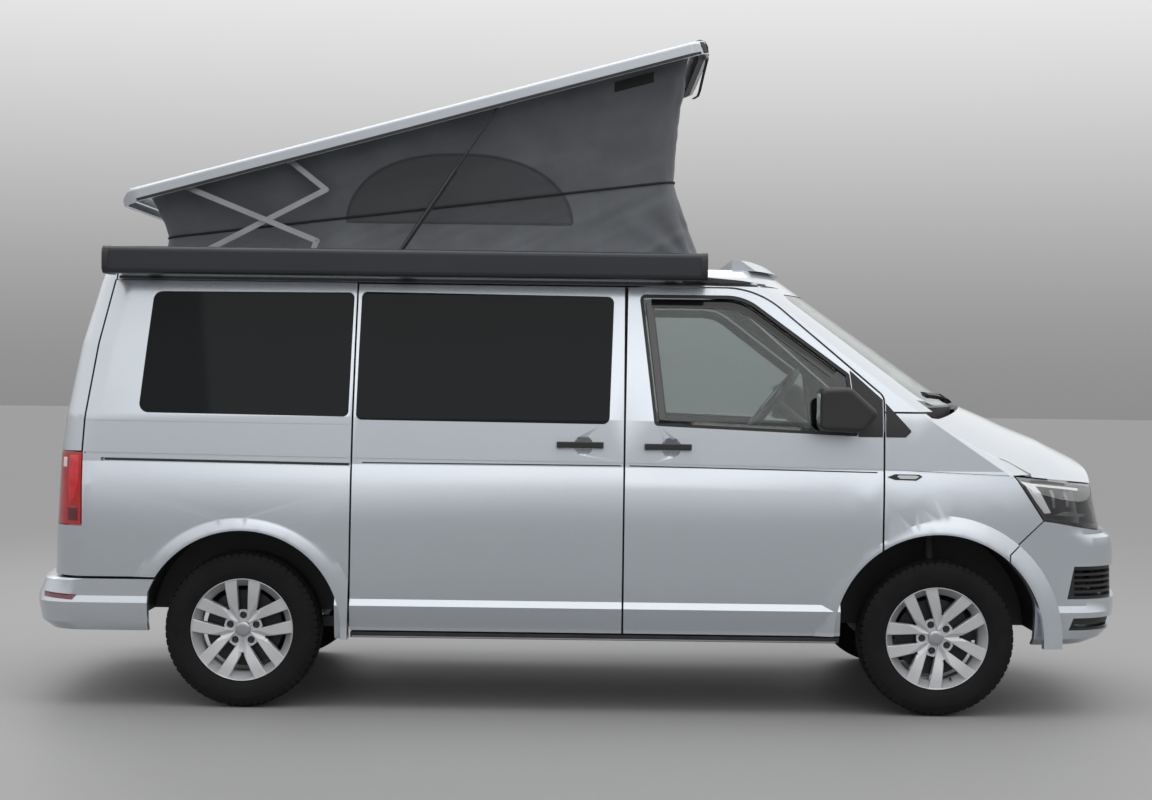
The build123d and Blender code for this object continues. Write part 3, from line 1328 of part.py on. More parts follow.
def along_strut(distance, radius, length):
    """A round bar on the strut's line, from a distance past its foot."""
    start = strut_foot + strut_way * distance
    return rod((start.X, strut_mid, start.Y), (strut_way.X, 0, strut_way.Y), radius, length)


def strut_tab(point, tip):
    """The flat eye at an end of the strut, with its neck."""
    eye = rod_y(point.X, point.Y, STRUT_TAB_RADIUS, -STRUT_PLANE - STRUT_TAB, -STRUT_PLANE)
    neck = make_face(Polyline(*[(spot.X, spot.Y) for spot in (point + along + aside for along,
        aside in tip)], close=True))
    return eye + across(neck, -STRUT_PLANE - STRUT_TAB, -STRUT_PLANE)


strut_side = Vector(-strut_way.Y, strut_way.X) * GAS_ROD_RADIUS
barrel_neck = strut_way * (BARREL_FROM + 4)
rod_neck = strut_way * -(BARREL_FROM + 4)
still = Vector(0, 0)
barrel = along_strut(BARREL_FROM, BARREL_RADIUS, BARREL_TO - BARREL_FROM)
barrel += strut_tab(strut_foot, [(still, strut_side), (barrel_neck, strut_side), (barrel_neck, -strut_side),
    (still, -strut_side)])
barrel -= along_strut(BARREL_FLOOR, GAS_ROD_RADIUS + GAS_ROD_FIT, BARREL_TO)
barrel -= pin_at(strut_foot, STRUT_PLANE - 1, STRUT_PLANE + STRUT_TAB + 1, PIN_FIT)
eye_far = (strut_eye - strut_foot).length
gas_rod = along_strut(eye_far - GAS_ROD_LONG, GAS_ROD_RADIUS, GAS_ROD_LONG - STRUT_TAB_RADIUS)
gas_rod += strut_tab(strut_eye, [(still, strut_side), (rod_neck, strut_side), (rod_neck, -strut_side),
    (still, -strut_side)])
gas_rod -= pin_at(strut_eye, STRUT_PLANE - 1, STRUT_PLANE + STRUT_TAB + 1, PIN_FIT)
nodes["gas_barrels"] = both_sides(barrel)
nodes["gas_rods"] = both_sides(gas_rod)
lugs += lug(strut_foot, PLANE_B, ROOF_TOP - 6, PIVOT_Z + 12)
lugs += pin_at(strut_foot, PLANE_B, STRUT_PLANE + STRUT_TAB)
roof_frame += both_sides(lugs)
nodes["roof_frame"] = roof_frame


def shell_plan(inset):
    points = [
        (SHELL_REAR_X + inset, -SHELL_HALF + inset), (SHELL_FRONT_X - inset, -SHELL_HALF + inset),
        (SHELL_FRONT_X - inset, SHELL_HALF - inset), (SHELL_REAR_X + inset, SHELL_HALF - inset),
    ]
    return make_face(FilletPolyline(points, radius=SHELL_CORNER - inset, close=True))


shell = upright(shell_plan(0), SHELL_LOW, SHELL_TOP)
shell = fillet(shell.faces().sort_by(Axis.Z)[-1].edges(), SHELL_EDGE)
shell = shell - upright(shell_plan(SHELL_SIDE), SHELL_LOW - 1, SHELL_TOP - SHELL_SKIN)
tail_slope = make_face(
    Polyline((SHELL_REAR_X - 1, SHELL_LOW + SHELL_TAIL_TALL),
        (SHELL_REAR_X + SHELL_TAIL_RUN, SHELL_TOP + 1),
             (SHELL_REAR_X - 1, SHELL_TOP + 1), close=True)
)
shell = shell - across(tail_slope, -FAR, FAR)
inner_top = SHELL_TOP - SHELL_SKIN
shell_lugs = lug(top_a_shut, PLANE_OUTER, PIVOT_Z - 12, inner_top + 4)
shell_lugs += pin_at(top_a_shut, PLANE_A, PLANE_OUTER + ARM_THICK)
shell_lugs += lug(high_shut, PLANE_ROOF_HIGH, PIVOT_Z - 12, inner_top + 4)
shell_lugs += pin_at(high_shut, PLANE_ROOF_HIGH, PLANE_INNER - EYE_OPEN)
shell_lugs += lug(strut_eye_shut, PLANE_B, PIVOT_Z - 12, inner_top + 4)
shell_lugs += pin_at(strut_eye_shut, PLANE_B, STRUT_PLANE - EYE_OPEN)
shell += both_sides(shell_lugs)
raise_roof = Pos(top_a.X, 0, top_a.Y) * Rot(0, -ROOF_TILT, 0) * Pos(-top_a_shut.X, 0, -top_a_shut.Y)
nodes["roof_shell"] = raise_roof * shell


# Fabric bellows
def ring(rear, front, half, plane):
    points = [(rear, -half), (front, -half), (front, half), (rear, half)]
    return plane * make_face(FilletPolyline(points, radius=BELLOWS_CORNER, close=True))


def bellows_skin(inset):
    rear = Vector(WAIST_REAR[0], 0, WAIST_REAR[1])
    front = Vector(WAIST_FRONT[0], 0, WAIST_FRONT[1])
    waist = Plane(origin=rear, x_dir=front - rear, z_dir=(front - rear).cross(Vector(0, 1, 0)))
    top = Plane(raise_roof * Location((0, 0, inner_top)))
    sections = [
        ring(BELLOWS_REAR_X + inset, BELLOWS_FRONT_X - inset, BELLOWS_HALF - inset,
            Plane.XY.offset(ROOF_TOP)),
        ring(inset, (front - rear).length - inset, BELLOWS_HALF - BELLOWS_WAIST_IN - inset, waist),
        ring(BELLOWS_TOP_REAR_X + inset, BELLOWS_TOP_FRONT_X - inset, BELLOWS_HALF - inset, top),
    ]
    return loft(sections, ruled=True)


nodes["bellows"] = bellows_skin(0) - bellows_skin(BELLOWS_THICK)

os.makedirs("parts", exist_ok=True)
for name, shape in nodes.items():
    export_step(shape, "parts/" + name + ".step")
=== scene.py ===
import math
from collections import namedtuple

import bmesh
import bpy
from mathutils import Matrix, Vector, noise
from mathutils.bvhtree import BVHTree


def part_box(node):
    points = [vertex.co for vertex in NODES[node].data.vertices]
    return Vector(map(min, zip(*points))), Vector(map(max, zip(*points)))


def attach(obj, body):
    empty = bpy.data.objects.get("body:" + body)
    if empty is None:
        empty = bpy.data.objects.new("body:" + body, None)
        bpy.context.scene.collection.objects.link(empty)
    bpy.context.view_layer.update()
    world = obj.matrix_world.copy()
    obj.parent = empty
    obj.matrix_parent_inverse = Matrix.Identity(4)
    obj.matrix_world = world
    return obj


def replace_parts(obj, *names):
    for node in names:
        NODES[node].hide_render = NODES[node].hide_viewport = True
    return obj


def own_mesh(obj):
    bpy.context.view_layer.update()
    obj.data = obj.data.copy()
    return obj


# A camper van with its pop-up roof raised. Metres. X runs forward, Y to the left, Z up.
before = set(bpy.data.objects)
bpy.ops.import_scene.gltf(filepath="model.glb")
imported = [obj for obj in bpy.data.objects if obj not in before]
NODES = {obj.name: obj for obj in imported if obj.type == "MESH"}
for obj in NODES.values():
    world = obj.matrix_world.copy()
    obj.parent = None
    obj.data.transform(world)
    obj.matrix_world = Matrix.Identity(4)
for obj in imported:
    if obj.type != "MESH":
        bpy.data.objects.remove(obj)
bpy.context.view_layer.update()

# Camera and light
LENS = 64.6
CAMERA_PLACE = (-0.027, -9.805, 1.480)
CAMERA_PITCH = -0.86
CAMERA_ROLL = 0.75
FLOOR_COLOUR = 0.25
FLOOR_REACH = 60.0
SKY_LOW = 0.27
SKY_HIGH = 1.00
SKY_RISE = (-0.03, 0.28)

# Roof lift, as the frame holds it at rest: (x, z)
ROOF_TILT = math.radians(15.34)
TOP_PIN = (-1.75736, 2.25983)
TOP_PIN_SHUT = (-1.7409, 1.942)
SHELL_INSIDE = 1.964

# Fabric under the raised roof
ROOF_TOP = 1.922
FABRIC_HALF = 0.634
FABRIC_CORNER = 0.07
FABRIC_BASE = (-1.900, 0.540)
FABRIC_TOP = (-1.925, 0.560)
WAIST_REAR = (-1.862, 2.042)
WAIST_FRONT = (0.398, 2.322)
WAIST_IN = 0.062
FABRIC_COLUMNS = 640
LOW_ROWS = 26
HIGH_ROWS = 40
FABRIC_SAG = 0.007
FAN_PLACE = (0.50, 1.93)
BROAD_FOLD = 0.013
THIN_FOLD = 0.006
FAN_FOLD = 0.011
GATHER_FOLD = 0.008

# Tyres
TYRE_RADIUS = 0.3365
TYRE_HALF = 0.1025
BEAD_RADIUS = 0.2213
BEAD_HALF = 0.086
BEAD_ROUND = 0.004
TREAD_HALF = 0.086
TREAD_DROP = 0.006
TREAD_PITCHES = 64
TREAD_TURN = 0.1
WALL_STEPS = 15
WALL_RIDGES = (3, 10)
RIDGE_PROUD = 0.0014
GROOVES = (0.056, 0.020)
GROOVE_HALF = 0.006
GROOVE_FOOT = 0.0045
GROOVE_DEPTH = 0.007
LUG_DEPTH = 0.006
LUG_LEAN = 0.35


# Helpers for nodes and meshes
SHADE_STOPS = (0.3, 0.7)
GLOSS_SPREAD = 0.15
COAT_ROUGH = 0.04
GLASS_IOR = 1.45
CLOTH_ROUGH = 0.85
CLOTH_SHEEN = 0.25


def feed(tree, made, **inputs):
    """Sets or links a node's inputs, by socket name with underscores or by i and a number."""
    for key, value in inputs.items():
        numbered = key[0] == "i" and key[1:].isdigit()
        target = made.inputs[int(key[1:]) if numbered else key.replace("_", " ")]
        if isinstance(value, bpy.types.Node):
            value = value.outputs[0]
        if isinstance(value, bpy.types.NodeSocket):
            tree.links.new(value, target)
        else:
            target.default_value = value
    return made


def node(tree, kind, settings=None, **inputs):
    """A new node with its settings and inputs."""
    made = tree.nodes.new(kind)
    for key, value in (settings or {}).items():
        setattr(made, key, value)
    return feed(tree, made, **inputs)


def maths(tree, operation, first, second=0.0):
    return node(tree, "ShaderNodeMath", {"operation": operation}, i0=first, i1=second)


def colour4(colour):
    return (*colour, 1.0)


def shade(tree, factor, dark, light):
    """A colour that goes from one to another with a factor."""
    ramp = node(tree, "ShaderNodeValToRGB", Fac=factor)
    for stop, position, colour in zip(ramp.color_ramp.elements, SHADE_STOPS, (dark, light)):
        stop.position = position
        stop.color = colour4(colour)
    return ramp


def blank(name):
    material = bpy.data.materials.new(name)
    material.use_nodes = True
    tree = material.node_tree
    return material, tree, tree.nodes["Principled BSDF"]


def scaled(colour, factor):
    return tuple(min(1.0, channel * factor) for channel in colour)


def surface(
    name, colour, rough, metal=0.0, coat=0.0, tone=0.08, tone_scale=4.0, grain=0.0, grain_scale=600.0,
    **more,
):
    """Paint, plastic or metal: slow changes of shade, uneven gloss and a fine grain."""
    material, tree, shader = blank(name)
    place = node(tree, "ShaderNodeTexCoord").outputs["Object"]
    slow = node(tree, "ShaderNodeTexNoise", Vector=place, Scale=tone_scale, Detail=4.0)
    fine = node(tree, "ShaderNodeTexNoise", Vector=place, Scale=grain_scale, Detail=2.0)
    base = shade(tree, slow, scaled(colour, 1 - tone), scaled(colour, 1 + tone))
    least, most = rough * (1 - GLOSS_SPREAD), rough * (1 + GLOSS_SPREAD)
    gloss = node(tree, "ShaderNodeMapRange", Value=fine, To_Min=least, To_Max=most)
    feed(tree, shader, Base_Color=base, Roughness=gloss, Metallic=metal)
    feed(tree, shader, Coat_Weight=coat, Coat_Roughness=COAT_ROUGH, **more)
    if grain:
        feed(tree, shader, Normal=node(tree, "ShaderNodeBump", Height=fine, Strength=0.5, Distance=grain))
    return material


def glass(name, tint):
    """Smooth clear glass of one tint."""
    material, tree, shader = blank(name)
    place = node(tree, "ShaderNodeTexCoord").outputs["Object"]
    slow = node(tree, "ShaderNodeTexNoise", Vector=place, Scale=2.0)
    base = shade(tree, slow, scaled(tint, 0.97), tint)
    feed(tree, shader, Base_Color=base, Transmission_Weight=1.0, Roughness=0.0, IOR=GLASS_IOR)
    return material


def cloth(name, colour, weave, uv=False, deep=0.0006):
    """Woven cloth; weave is the scale of the wave patterns that make its threads."""
    material, tree, shader = blank(name)
    place = node(tree, "ShaderNodeTexCoord").outputs["UV" if uv else "Object"]
    warp = node(tree, "ShaderNodeTexWave", {"bands_direction": "X"}, Vector=place, Scale=weave)
    weft = node(tree, "ShaderNodeTexWave", {"bands_direction": "Y"}, Vector=place, Scale=weave)
    thread = maths(tree, "MULTIPLY", warp.outputs["Fac"], weft.outputs["Fac"])
    slow = node(tree, "ShaderNodeTexNoise", Vector=place, Scale=5.0, Detail=5.0)
    base = shade(tree, slow, scaled(colour, 0.85), scaled(colour, 1.15))
    bump = node(tree, "ShaderNodeBump", Height=thread, Strength=0.6, Distance=deep)
    feed(tree, shader, Base_Color=base, Roughness=CLOTH_ROUGH, Sheen_Weight=CLOTH_SHEEN, Normal=bump)
    return material, tree, shader, base


def dress(obj, material):
    obj.data.materials.clear()
    obj.data.materials.append(material)


def from_mesh(name, verts, faces, material):
    mesh = bpy.data.meshes.new(name)
    mesh.from_pydata(verts, [], faces)
    mesh.update()
    obj = bpy.data.objects.new(name, mesh)
    bpy.context.scene.collection.objects.link(obj)
    dress(obj, material)
    mesh.polygons.foreach_set("use_smooth", [True] * len(mesh.polygons))
    return obj


def swell(material, middle, low, high, depth):
    """A gentle barrel swell of upright panels, as a bump over the height."""
    tree = material.node_tree
    shader = tree.nodes["Principled BSDF"]
    place = node(tree, "ShaderNodeSeparateXYZ", Vector=node(tree, "ShaderNodeTexCoord").outputs["Object"])
    within = node(tree, "ShaderNodeClamp", Value=place.outputs["Z"], Min=low, Max=high)
    away = maths(tree, "SUBTRACT", within, middle)
    height = maths(tree, "MULTIPLY", maths(tree, "MULTIPLY", away, away), -depth)
    grain = shader.inputs["Normal"].links[0].from_socket
    bump = node(tree, "ShaderNodeBump", Height=height, Strength=1.0, Distance=1.0, Normal=grain)
    feed(tree, shader, Normal=bump)
    return material


def line_inside_with_shade(material, colour):
    """The faces that look to the middle of the cabin take a plain dark colour: partly the cabin's dark
    trim, partly painted shade on door shut lines, panel edges and the insides of doors and tailgate.
    """
    tree = material.node_tree
    shader = tree.nodes["Principled BSDF"]
    spot = node(tree, "ShaderNodeTexCoord")
    place = node(tree, "ShaderNodeSeparateXYZ", Vector=spot.outputs["Object"])
    up = maths(tree, "MAXIMUM", maths(tree, "SUBTRACT", place.outputs["Z"], CABIN_HIGH), 0.0)
    along = maths(tree, "SUBTRACT", place.outputs["X"], CABIN_MIDDLE)
    high = maths(tree, "MULTIPLY", up, 2.0)
    away = node(tree, "ShaderNodeCombineXYZ", X=along, Y=place.outputs["Y"], Z=high)
    dot = {"operation": "DOT_PRODUCT"}
    facing = node(tree, "ShaderNodeVectorMath", dot, i0=spot.outputs["Normal"], i1=away)
    inside = maths(tree, "LESS_THAN", facing.outputs["Value"], CABIN_FACING)
    outside = maths(tree, "SUBTRACT", 1.0, inside)
    painted = shader.inputs["Base Color"].links[0].from_socket
    lined_and_shaded = node(tree, "ShaderNodeMix", {"data_type": "RGBA"}, Factor=inside, A=painted, B=colour4(colour))
    feed(tree, shader, Base_Color=lined_and_shaded.outputs["Result"])
    for name in ("Metallic", "Coat Weight"):
        share = maths(tree, "MULTIPLY", outside, shader.inputs[name].default_value)
        feed(tree, shader, **{name: share})
    return material


# Materials
PAINT = (0.56, 0.60, 0.65)
# Colour of faces that look into the cabin: partly dark trim, partly painted shade on shut lines and inner
# edges.
LINING_AND_SHADE = (0.020, 0.020, 0.022)
CABIN_MIDDLE = -0.2
CABIN_HIGH = 1.5
CABIN_FACING = -0.05
SWELL = {"middle": 0.74, "low": 0.36, "high": 1.06, "depth": 0.30}


def silver(name):
    return surface(
        name, PAINT, 0.27, metal=0.75, coat=1.0, tone=0.015, tone_scale=1.5, grain=0.00002,
        grain_scale=2500,
    )


paint = silver("silver_paint")
# These paints darken the faces that look into the cabin: partly dark trim, partly painted shade.
lined_shaded_paint = line_inside_with_shade(silver("lined_shaded_paint"), LINING_AND_SHADE)
flank_paint = line_inside_with_shade(swell(silver("flank_paint"), **SWELL), LINING_AND_SHADE)
shell_paint = surface("shell_paint", (0.44, 0.47, 0.51), 0.35, metal=0.3, coat=0.8, tone=0.02)
black_trim = surface("grained_black", (0.016, 0.016, 0.017), 0.5, tone=0.15, grain=0.0002, grain_scale=900)
gloss_black = surface("gloss_black", (0.008, 0.008, 0.009), 0.12, tone=0.1, coat=0.5)
dark_steel = surface(
    "dark_steel", (0.05, 0.05, 0.055), 0.6, metal=0.3, tone=0.2, tone_scale=9, grain=0.0002,
)
bare_steel = surface("bare_steel", (0.42, 0.42, 0.43), 0.38, metal=1.0, tone=0.08, tone_scale=12)
cast = surface(
    "cast_metal", (0.09, 0.09, 0.09), 0.65, metal=0.6, tone=0.25, tone_scale=14, grain=0.0004,
    grain_scale=500,
)
alloy = surface("alloy_paint", (0.56, 0.57, 0.59), 0.34, metal=0.35, coat=0.6, tone=0.03, tone_scale=10)
arm_alloy = surface("arm_alloy", (0.30, 0.31, 0.32), 0.42, metal=0.6, tone=0.08, tone_scale=12)
awning_coat = surface(
    "anthracite_coat", (0.022, 0.025, 0.030), 0.34, metal=0.2, tone=0.08, tone_scale=3, grain=0.00005,
    grain_scale=1500,
)
laminate = surface("laminate", (0.55, 0.55, 0.54), 0.35, tone=0.06, tone_scale=8)
rubber = surface(
    "tyre_rubber", (0.006, 0.006, 0.007), 0.80, tone=0.25, tone_scale=18, grain=0.0003, grain_scale=700,
    Specular_IOR_Level=0.25,
)
lamp_bowl = surface("lamp_bowl", (0.05, 0.05, 0.055), 0.25, metal=0.6, tone=0.1)
red_lens = surface("red_lens", (0.42, 0.008, 0.012), 0.12, coat=1.0, tone=0.12, tone_scale=20)
clear_glass = glass("clear_glass", (0.64, 0.72, 0.71))
lens_glass = glass("lens_glass", (0.97, 0.98, 0.99))
dark_glass = surface("dark_glass", (0.006, 0.007, 0.008), 0.04, tone=0.05, Specular_IOR_Level=0.12)
cap_finish = surface("cap_finish", (0.42, 0.43, 0.45), 0.25, metal=0.9, tone=0.04, tone_scale=20)
# Brake disc steel darkened to near black: painted shade inside the wheel.
shaded_disc_steel = surface(
    "shaded_disc_steel", (0.045, 0.045, 0.048), 0.5, metal=0.9, tone=0.2, tone_scale=30, grain=0.0001,
)
chrome = surface("lamp_chrome", (0.80, 0.81, 0.83), 0.12, metal=1.0, tone=0.02)
lamp_grey = surface("lamp_grey", (0.20, 0.20, 0.21), 0.25, metal=0.7, tone=0.05)
bright_red = surface("bright_red", (0.62, 0.008, 0.016), 0.16, coat=1.0, tone=0.15, tone_scale=30)
dark_red = surface("dark_red", (0.11, 0.004, 0.010), 0.16, coat=1.0, tone=0.15, tone_scale=30)
day_white = surface("day_white", (0.95, 0.96, 0.97), 0.25, tone=0.01)
mirror_face = surface("mirror_face", (0.75, 0.77, 0.78), 0.03, metal=1.0, tone=0.01)
white_lens = surface("white_lens", (0.72, 0.68, 0.68), 0.14, coat=1.0, tone=0.06, tone_scale=30)
webbing = surface(
    "webbing", (0.010, 0.010, 0.011), 0.8, tone=0.2, tone_scale=40, grain=0.0003, grain_scale=1200,
)
binding_cloth = surface(
    "binding_cloth", (0.040, 0.042, 0.047), 0.8, tone=0.15, tone_scale=40, grain=0.0003, grain_scale=1200,
)
seat_cloth = cloth("seat_cloth", (0.05, 0.05, 0.055), 700)[0]

NODE_MATERIALS = {
    paint: "front_bumper rear_bumper bonnet",
    lined_shaded_paint: "roof_frame cab_frame tailgate",
    flank_paint: "side_right side_left sliding_door door_right door_left front_fenders",
    shell_paint: "roof_shell roof_cap",
    black_trim: (
        "cowl side_trim front_grille wheel_liners fuel_tank dashboard steering_wheel"
        " door_trim_right door_trim_left"
    ),
    dark_steel: "body_frame",
    cast: "front_subframe rear_axle engine knuckle_right knuckle_left",
    bare_steel: "exhaust",
    arm_alloy: "roof_arms_b roof_arms_a roof_links_low roof_links_high",
    gloss_black: "gas_rods gas_barrels",
    alloy: "rim_front_right rim_front_left rim_rear_right rim_rear_left",
    rubber: "tyre_front_right tyre_front_left tyre_rear_right tyre_rear_left",
    awning_coat: "awning",
    laminate: "kitchen_unit",
    lamp_bowl: "headlamp_housings",
    red_lens: "tail_lamps",
    clear_glass: "windscreen door_glass_right door_glass_left",
    lens_glass: "headlamp_lenses",
    dark_glass: "side_glass tailgate_glass",
    seat_cloth: "front_seats rear_bench bellows",
}
for material, names in NODE_MATERIALS.items():
    for name in names.split():
        dress(NODES[name], material)


# Smooth shading of the solids: joined corners, with edges kept sharp above an angle
def smoothing(limit):
    tree = bpy.data.node_groups.new("smooth_by_angle", "GeometryNodeTree")
    tree.interface.new_socket("Geometry", in_out="INPUT", socket_type="NodeSocketGeometry")
    tree.interface.new_socket("Geometry", in_out="OUTPUT", socket_type="NodeSocketGeometry")
    start = tree.nodes.new("NodeGroupInput")
    end = tree.nodes.new("NodeGroupOutput")
    weld = node(tree, "GeometryNodeMergeByDistance", Geometry=start, Distance=0.00002)
    plain = node(tree, "GeometryNodeRemoveAttribute", Geometry=weld, Name="custom_normal")
    angle = tree.nodes.new("GeometryNodeInputMeshEdgeAngle")
    gentle = node(tree, "FunctionNodeCompare", {"operation": "LESS_THAN"}, A=angle.outputs[0], B=limit)
    faces = node(tree, "GeometryNodeSetShadeSmooth", {"domain": "FACE"}, Geometry=plain)
    edges = node(
        tree, "GeometryNodeSetShadeSmooth", {"domain": "EDGE"}, Geometry=faces, Shade_Smooth=gentle,
    )
    tree.links.new(edges.outputs[0], end.inputs[0])
    return tree


SMOOTH = smoothing(math.radians(24))
for obj in NODES.values():
    obj.modifiers.new("smooth", "NODES").node_group = SMOOTH
    weighted = obj.modifiers.new("weighted", "WEIGHTED_NORMAL")
    weighted.keep_sharp = True


# Fabric under the raised roof
def rounded(rear, front, half, corner, share):
    """A point on a rounded rectangle, by its share of the way round from the right rear corner."""
    long = front - rear - 2 * corner
    wide = 2 * half - 2 * corner
    bend = corner * math.pi / 2
    runs = [long, bend, wide, bend, long, bend, wide, bend]
    way = share * sum(runs)
    corners = [
        (front - corner, -half + corner, -math.pi / 2), (front - corner, half - corner, 0),
        (rear + corner, half - corner, math.pi / 2), (rear + corner, -half + corner, math.pi),
    ]
    starts = [
        (rear + corner, -half, 1, 0), (front, -half + corner, 0, 1),
        (front - corner, half, -1, 0), (rear, half - corner, 0, -1),
    ]
    for number, run in enumerate(runs):
        if way <= run or number == 7:
            break
        way -= run
    if number % 2 == 0:
        x, y, dx, dy = starts[number // 2]
        return x + dx * way, y + dy * way
    x, y, angle = corners[number // 2]
    angle += way / corner
    return x + corner * math.cos(angle), y + corner * math.sin(angle)


def raised(x, z):
    """A point of the closed roof carried to its raised place."""
    dx, dz = x - TOP_PIN_SHUT[0], z - TOP_PIN_SHUT[1]
    cos, sin = math.cos(ROOF_TILT), math.sin(ROOF_TILT)
    return TOP_PIN[0] + dx * cos - dz * sin, TOP_PIN[1] + dx * sin + dz * cos


def fabric_rings(share):
    """The fabric's base, waist and top at a share of the way round."""
    base_x, base_y = rounded(*FABRIC_BASE, FABRIC_HALF, FABRIC_CORNER, share)
    run = math.dist(WAIST_REAR, WAIST_FRONT)
    along, waist_y = rounded(0, run, FABRIC_HALF - WAIST_IN, FABRIC_CORNER, share)
    part = along / run
    waist = [a + (b - a) * part for a, b in zip(WAIST_REAR, WAIST_FRONT)]
    top_x, top_y = rounded(*FABRIC_TOP, FABRIC_HALF, FABRIC_CORNER, share)
    top = raised(top_x, SHELL_INSIDE)
    rings = ((base_x, base_y, ROOF_TOP), (waist[0], waist_y, waist[1]), (top[0], top_y, top[1]))
    return [Vector(point) for point in rings]


def way_out(share):
    """The level way out of the fabric at its waist."""
    ahead = fabric_rings((share + 0.001) % 1.0)[1] - fabric_rings(share)[1]
    return Vector((ahead.y, -ahead.x, 0)).normalized()


def folds(point, outward, low_share, high_share):
    """How far the cloth stands out in soft folds; nothing at its sewn edges."""
    if abs(outward.y) > abs(outward.x):
        along, height = point.x, point.z
    else:
        along, height = point.y * 1.3 + 7, point.z
    free = math.sin(math.pi * low_share) if high_share == 0 else math.sin(math.pi * high_share)
    near = (1 - low_share) if high_share == 0 else high_share
    lean = along * 0.8 - height * 1.6 if high_share == 0 else along * 0.35 - height * 1.1
    cross = along * 1.6 + height * 0.8
    broad = noise.noise(Vector((lean * 7, cross * 1.4, 3.1)))
    thin = noise.noise(Vector((lean * 19, cross * 2.5, 8.7)))
    gather = noise.noise(Vector((along * 24, height * 3, 1.7))) * math.exp(-near * 7)
    ahead, above = along - FAN_PLACE[0], height - FAN_PLACE[1]
    fan = math.sin(13 * math.atan2(above, ahead)) * math.exp(-3.2 * math.hypot(ahead, above))
    loose = free * (BROAD_FOLD * broad + THIN_FOLD * thin + FAN_FOLD * fan)
    return loose + GATHER_FOLD * gather * min(1.0, near * 8)


def build_fabric():
    verts, places = [], []
    rows = LOW_ROWS + HIGH_ROWS + 1
    for column in range(FABRIC_COLUMNS):
        share = column / FABRIC_COLUMNS
        base, waist, top = fabric_rings(share)
        outward = way_out(share)
        for row in range(rows):
            low = min(1.0, row / LOW_ROWS)
            high = max(0.0, (row - LOW_ROWS) / HIGH_ROWS)
            if high == 0:
                point = base.lerp(waist, low) - outward * FABRIC_SAG * math.sin(math.pi * low)
            else:
                point = waist.lerp(top, high) - outward * FABRIC_SAG * math.sin(math.pi * high)
            verts.append(point + outward * folds(point, outward, low, high))
            on_side = abs(outward.y) > 0.9
            places.append((point.x, point.z) if on_side else (point.y + 20, point.z))
    faces = []
    for column in range(FABRIC_COLUMNS):
        following = (column + 1) % FABRIC_COLUMNS
        for row in range(rows - 1):
            a, b = column * rows + row, following * rows + row
            faces.append((a, b, b + 1, a + 1))
    obj = from_mesh("fabric_bellows", verts, faces, canvas)
    layer = obj.data.uv_layers.new(name="UVMap")
    for loop in obj.data.loops:
        layer.data[loop.index].uv = places[loop.vertex_index]
    return obj


NET_MIDDLE = -0.556
NET_BASE = 2.124
NET_HALF = 0.502
NET_TALL = 0.302


def canvas_cloth():
    """Grey canvas with a darker half-round net window on each side."""
    colour = (0.105, 0.112, 0.124)
    material, tree, shader, base = cloth("canvas", colour, 330, uv=True, deep=0.0008)
    place = node(tree, "ShaderNodeTexCoord").outputs["UV"]
    split = node(tree, "ShaderNodeSeparateXYZ", Vector=place)
    across = maths(tree, "DIVIDE", maths(tree, "SUBTRACT", split.outputs[0], NET_MIDDLE), NET_HALF)
    up = maths(tree, "DIVIDE", maths(tree, "SUBTRACT", split.outputs[1], NET_BASE), NET_TALL)
    wide_part = maths(tree, "POWER", maths(tree, "ABSOLUTE", across), 2.4)
    tall_part = maths(tree, "POWER", maths(tree, "ABSOLUTE", up), 2.0)
    inside = maths(tree, "LESS_THAN", maths(tree, "ADD", wide_part, tall_part), 1.0)
    above = maths(tree, "GREATER_THAN", up, 0.0)
    window = maths(tree, "MULTIPLY", inside, above)
    net = colour4(scaled(colour, 0.55))
    dark = node(tree, "ShaderNodeMix", {"data_type": "RGBA"}, Factor=window, A=base.outputs[0], B=net)
    feed(tree, shader, Base_Color=dark.outputs["Result"])
    return material


def flattens(obj):
    """Gives a fabric or trim piece a mesh of its own."""
    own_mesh(obj)


canvas = canvas_cloth()
fabric = build_fabric()
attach(fabric, "body")
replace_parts(fabric, "bellows")
flattens(fabric)


# Tyres with their tread
def tyre_profile():
    """Half section from the bead to the middle of the tread: (side, radius, lug depth)."""
    points = [(BEAD_HALF, BEAD_RADIUS, 0), (BEAD_HALF + BEAD_ROUND, BEAD_RADIUS + BEAD_ROUND, 0)]
    for step in range(1, WALL_STEPS):
        angle = math.pi * (step / WALL_STEPS)
        radius = BEAD_RADIUS + 0.006 + (TYRE_RADIUS - TREAD_DROP - 0.010 - BEAD_RADIUS) * step / WALL_STEPS
        side = BEAD_HALF + 0.003 + (TYRE_HALF - BEAD_HALF - 0.003) * math.sin(angle) ** 0.8
        ridge = RIDGE_PROUD if step in WALL_RIDGES else 0.0
        points.append((side + ridge, radius, 0.0035 if step > 12 else 0))
    points.append((TREAD_HALF + 0.0035, TYRE_RADIUS - TREAD_DROP - 0.003, 0.005))
    points.append((TREAD_HALF - 0.002, TYRE_RADIUS - TREAD_DROP, LUG_DEPTH))
    for groove in GROOVES:
        height = TYRE_RADIUS - TREAD_DROP * (groove / TREAD_HALF) ** 2
        foot = height - GROOVE_DEPTH
        lug = LUG_DEPTH if groove == GROOVES[0] else 0.0
        points += [(groove + GROOVE_HALF, height, lug), (groove + GROOVE_FOOT, foot, 0)]
        points += [(groove - GROOVE_FOOT, foot, 0), (groove - GROOVE_HALF, height, 0)]
    points.append((0.0, TYRE_RADIUS, 0))
    return points


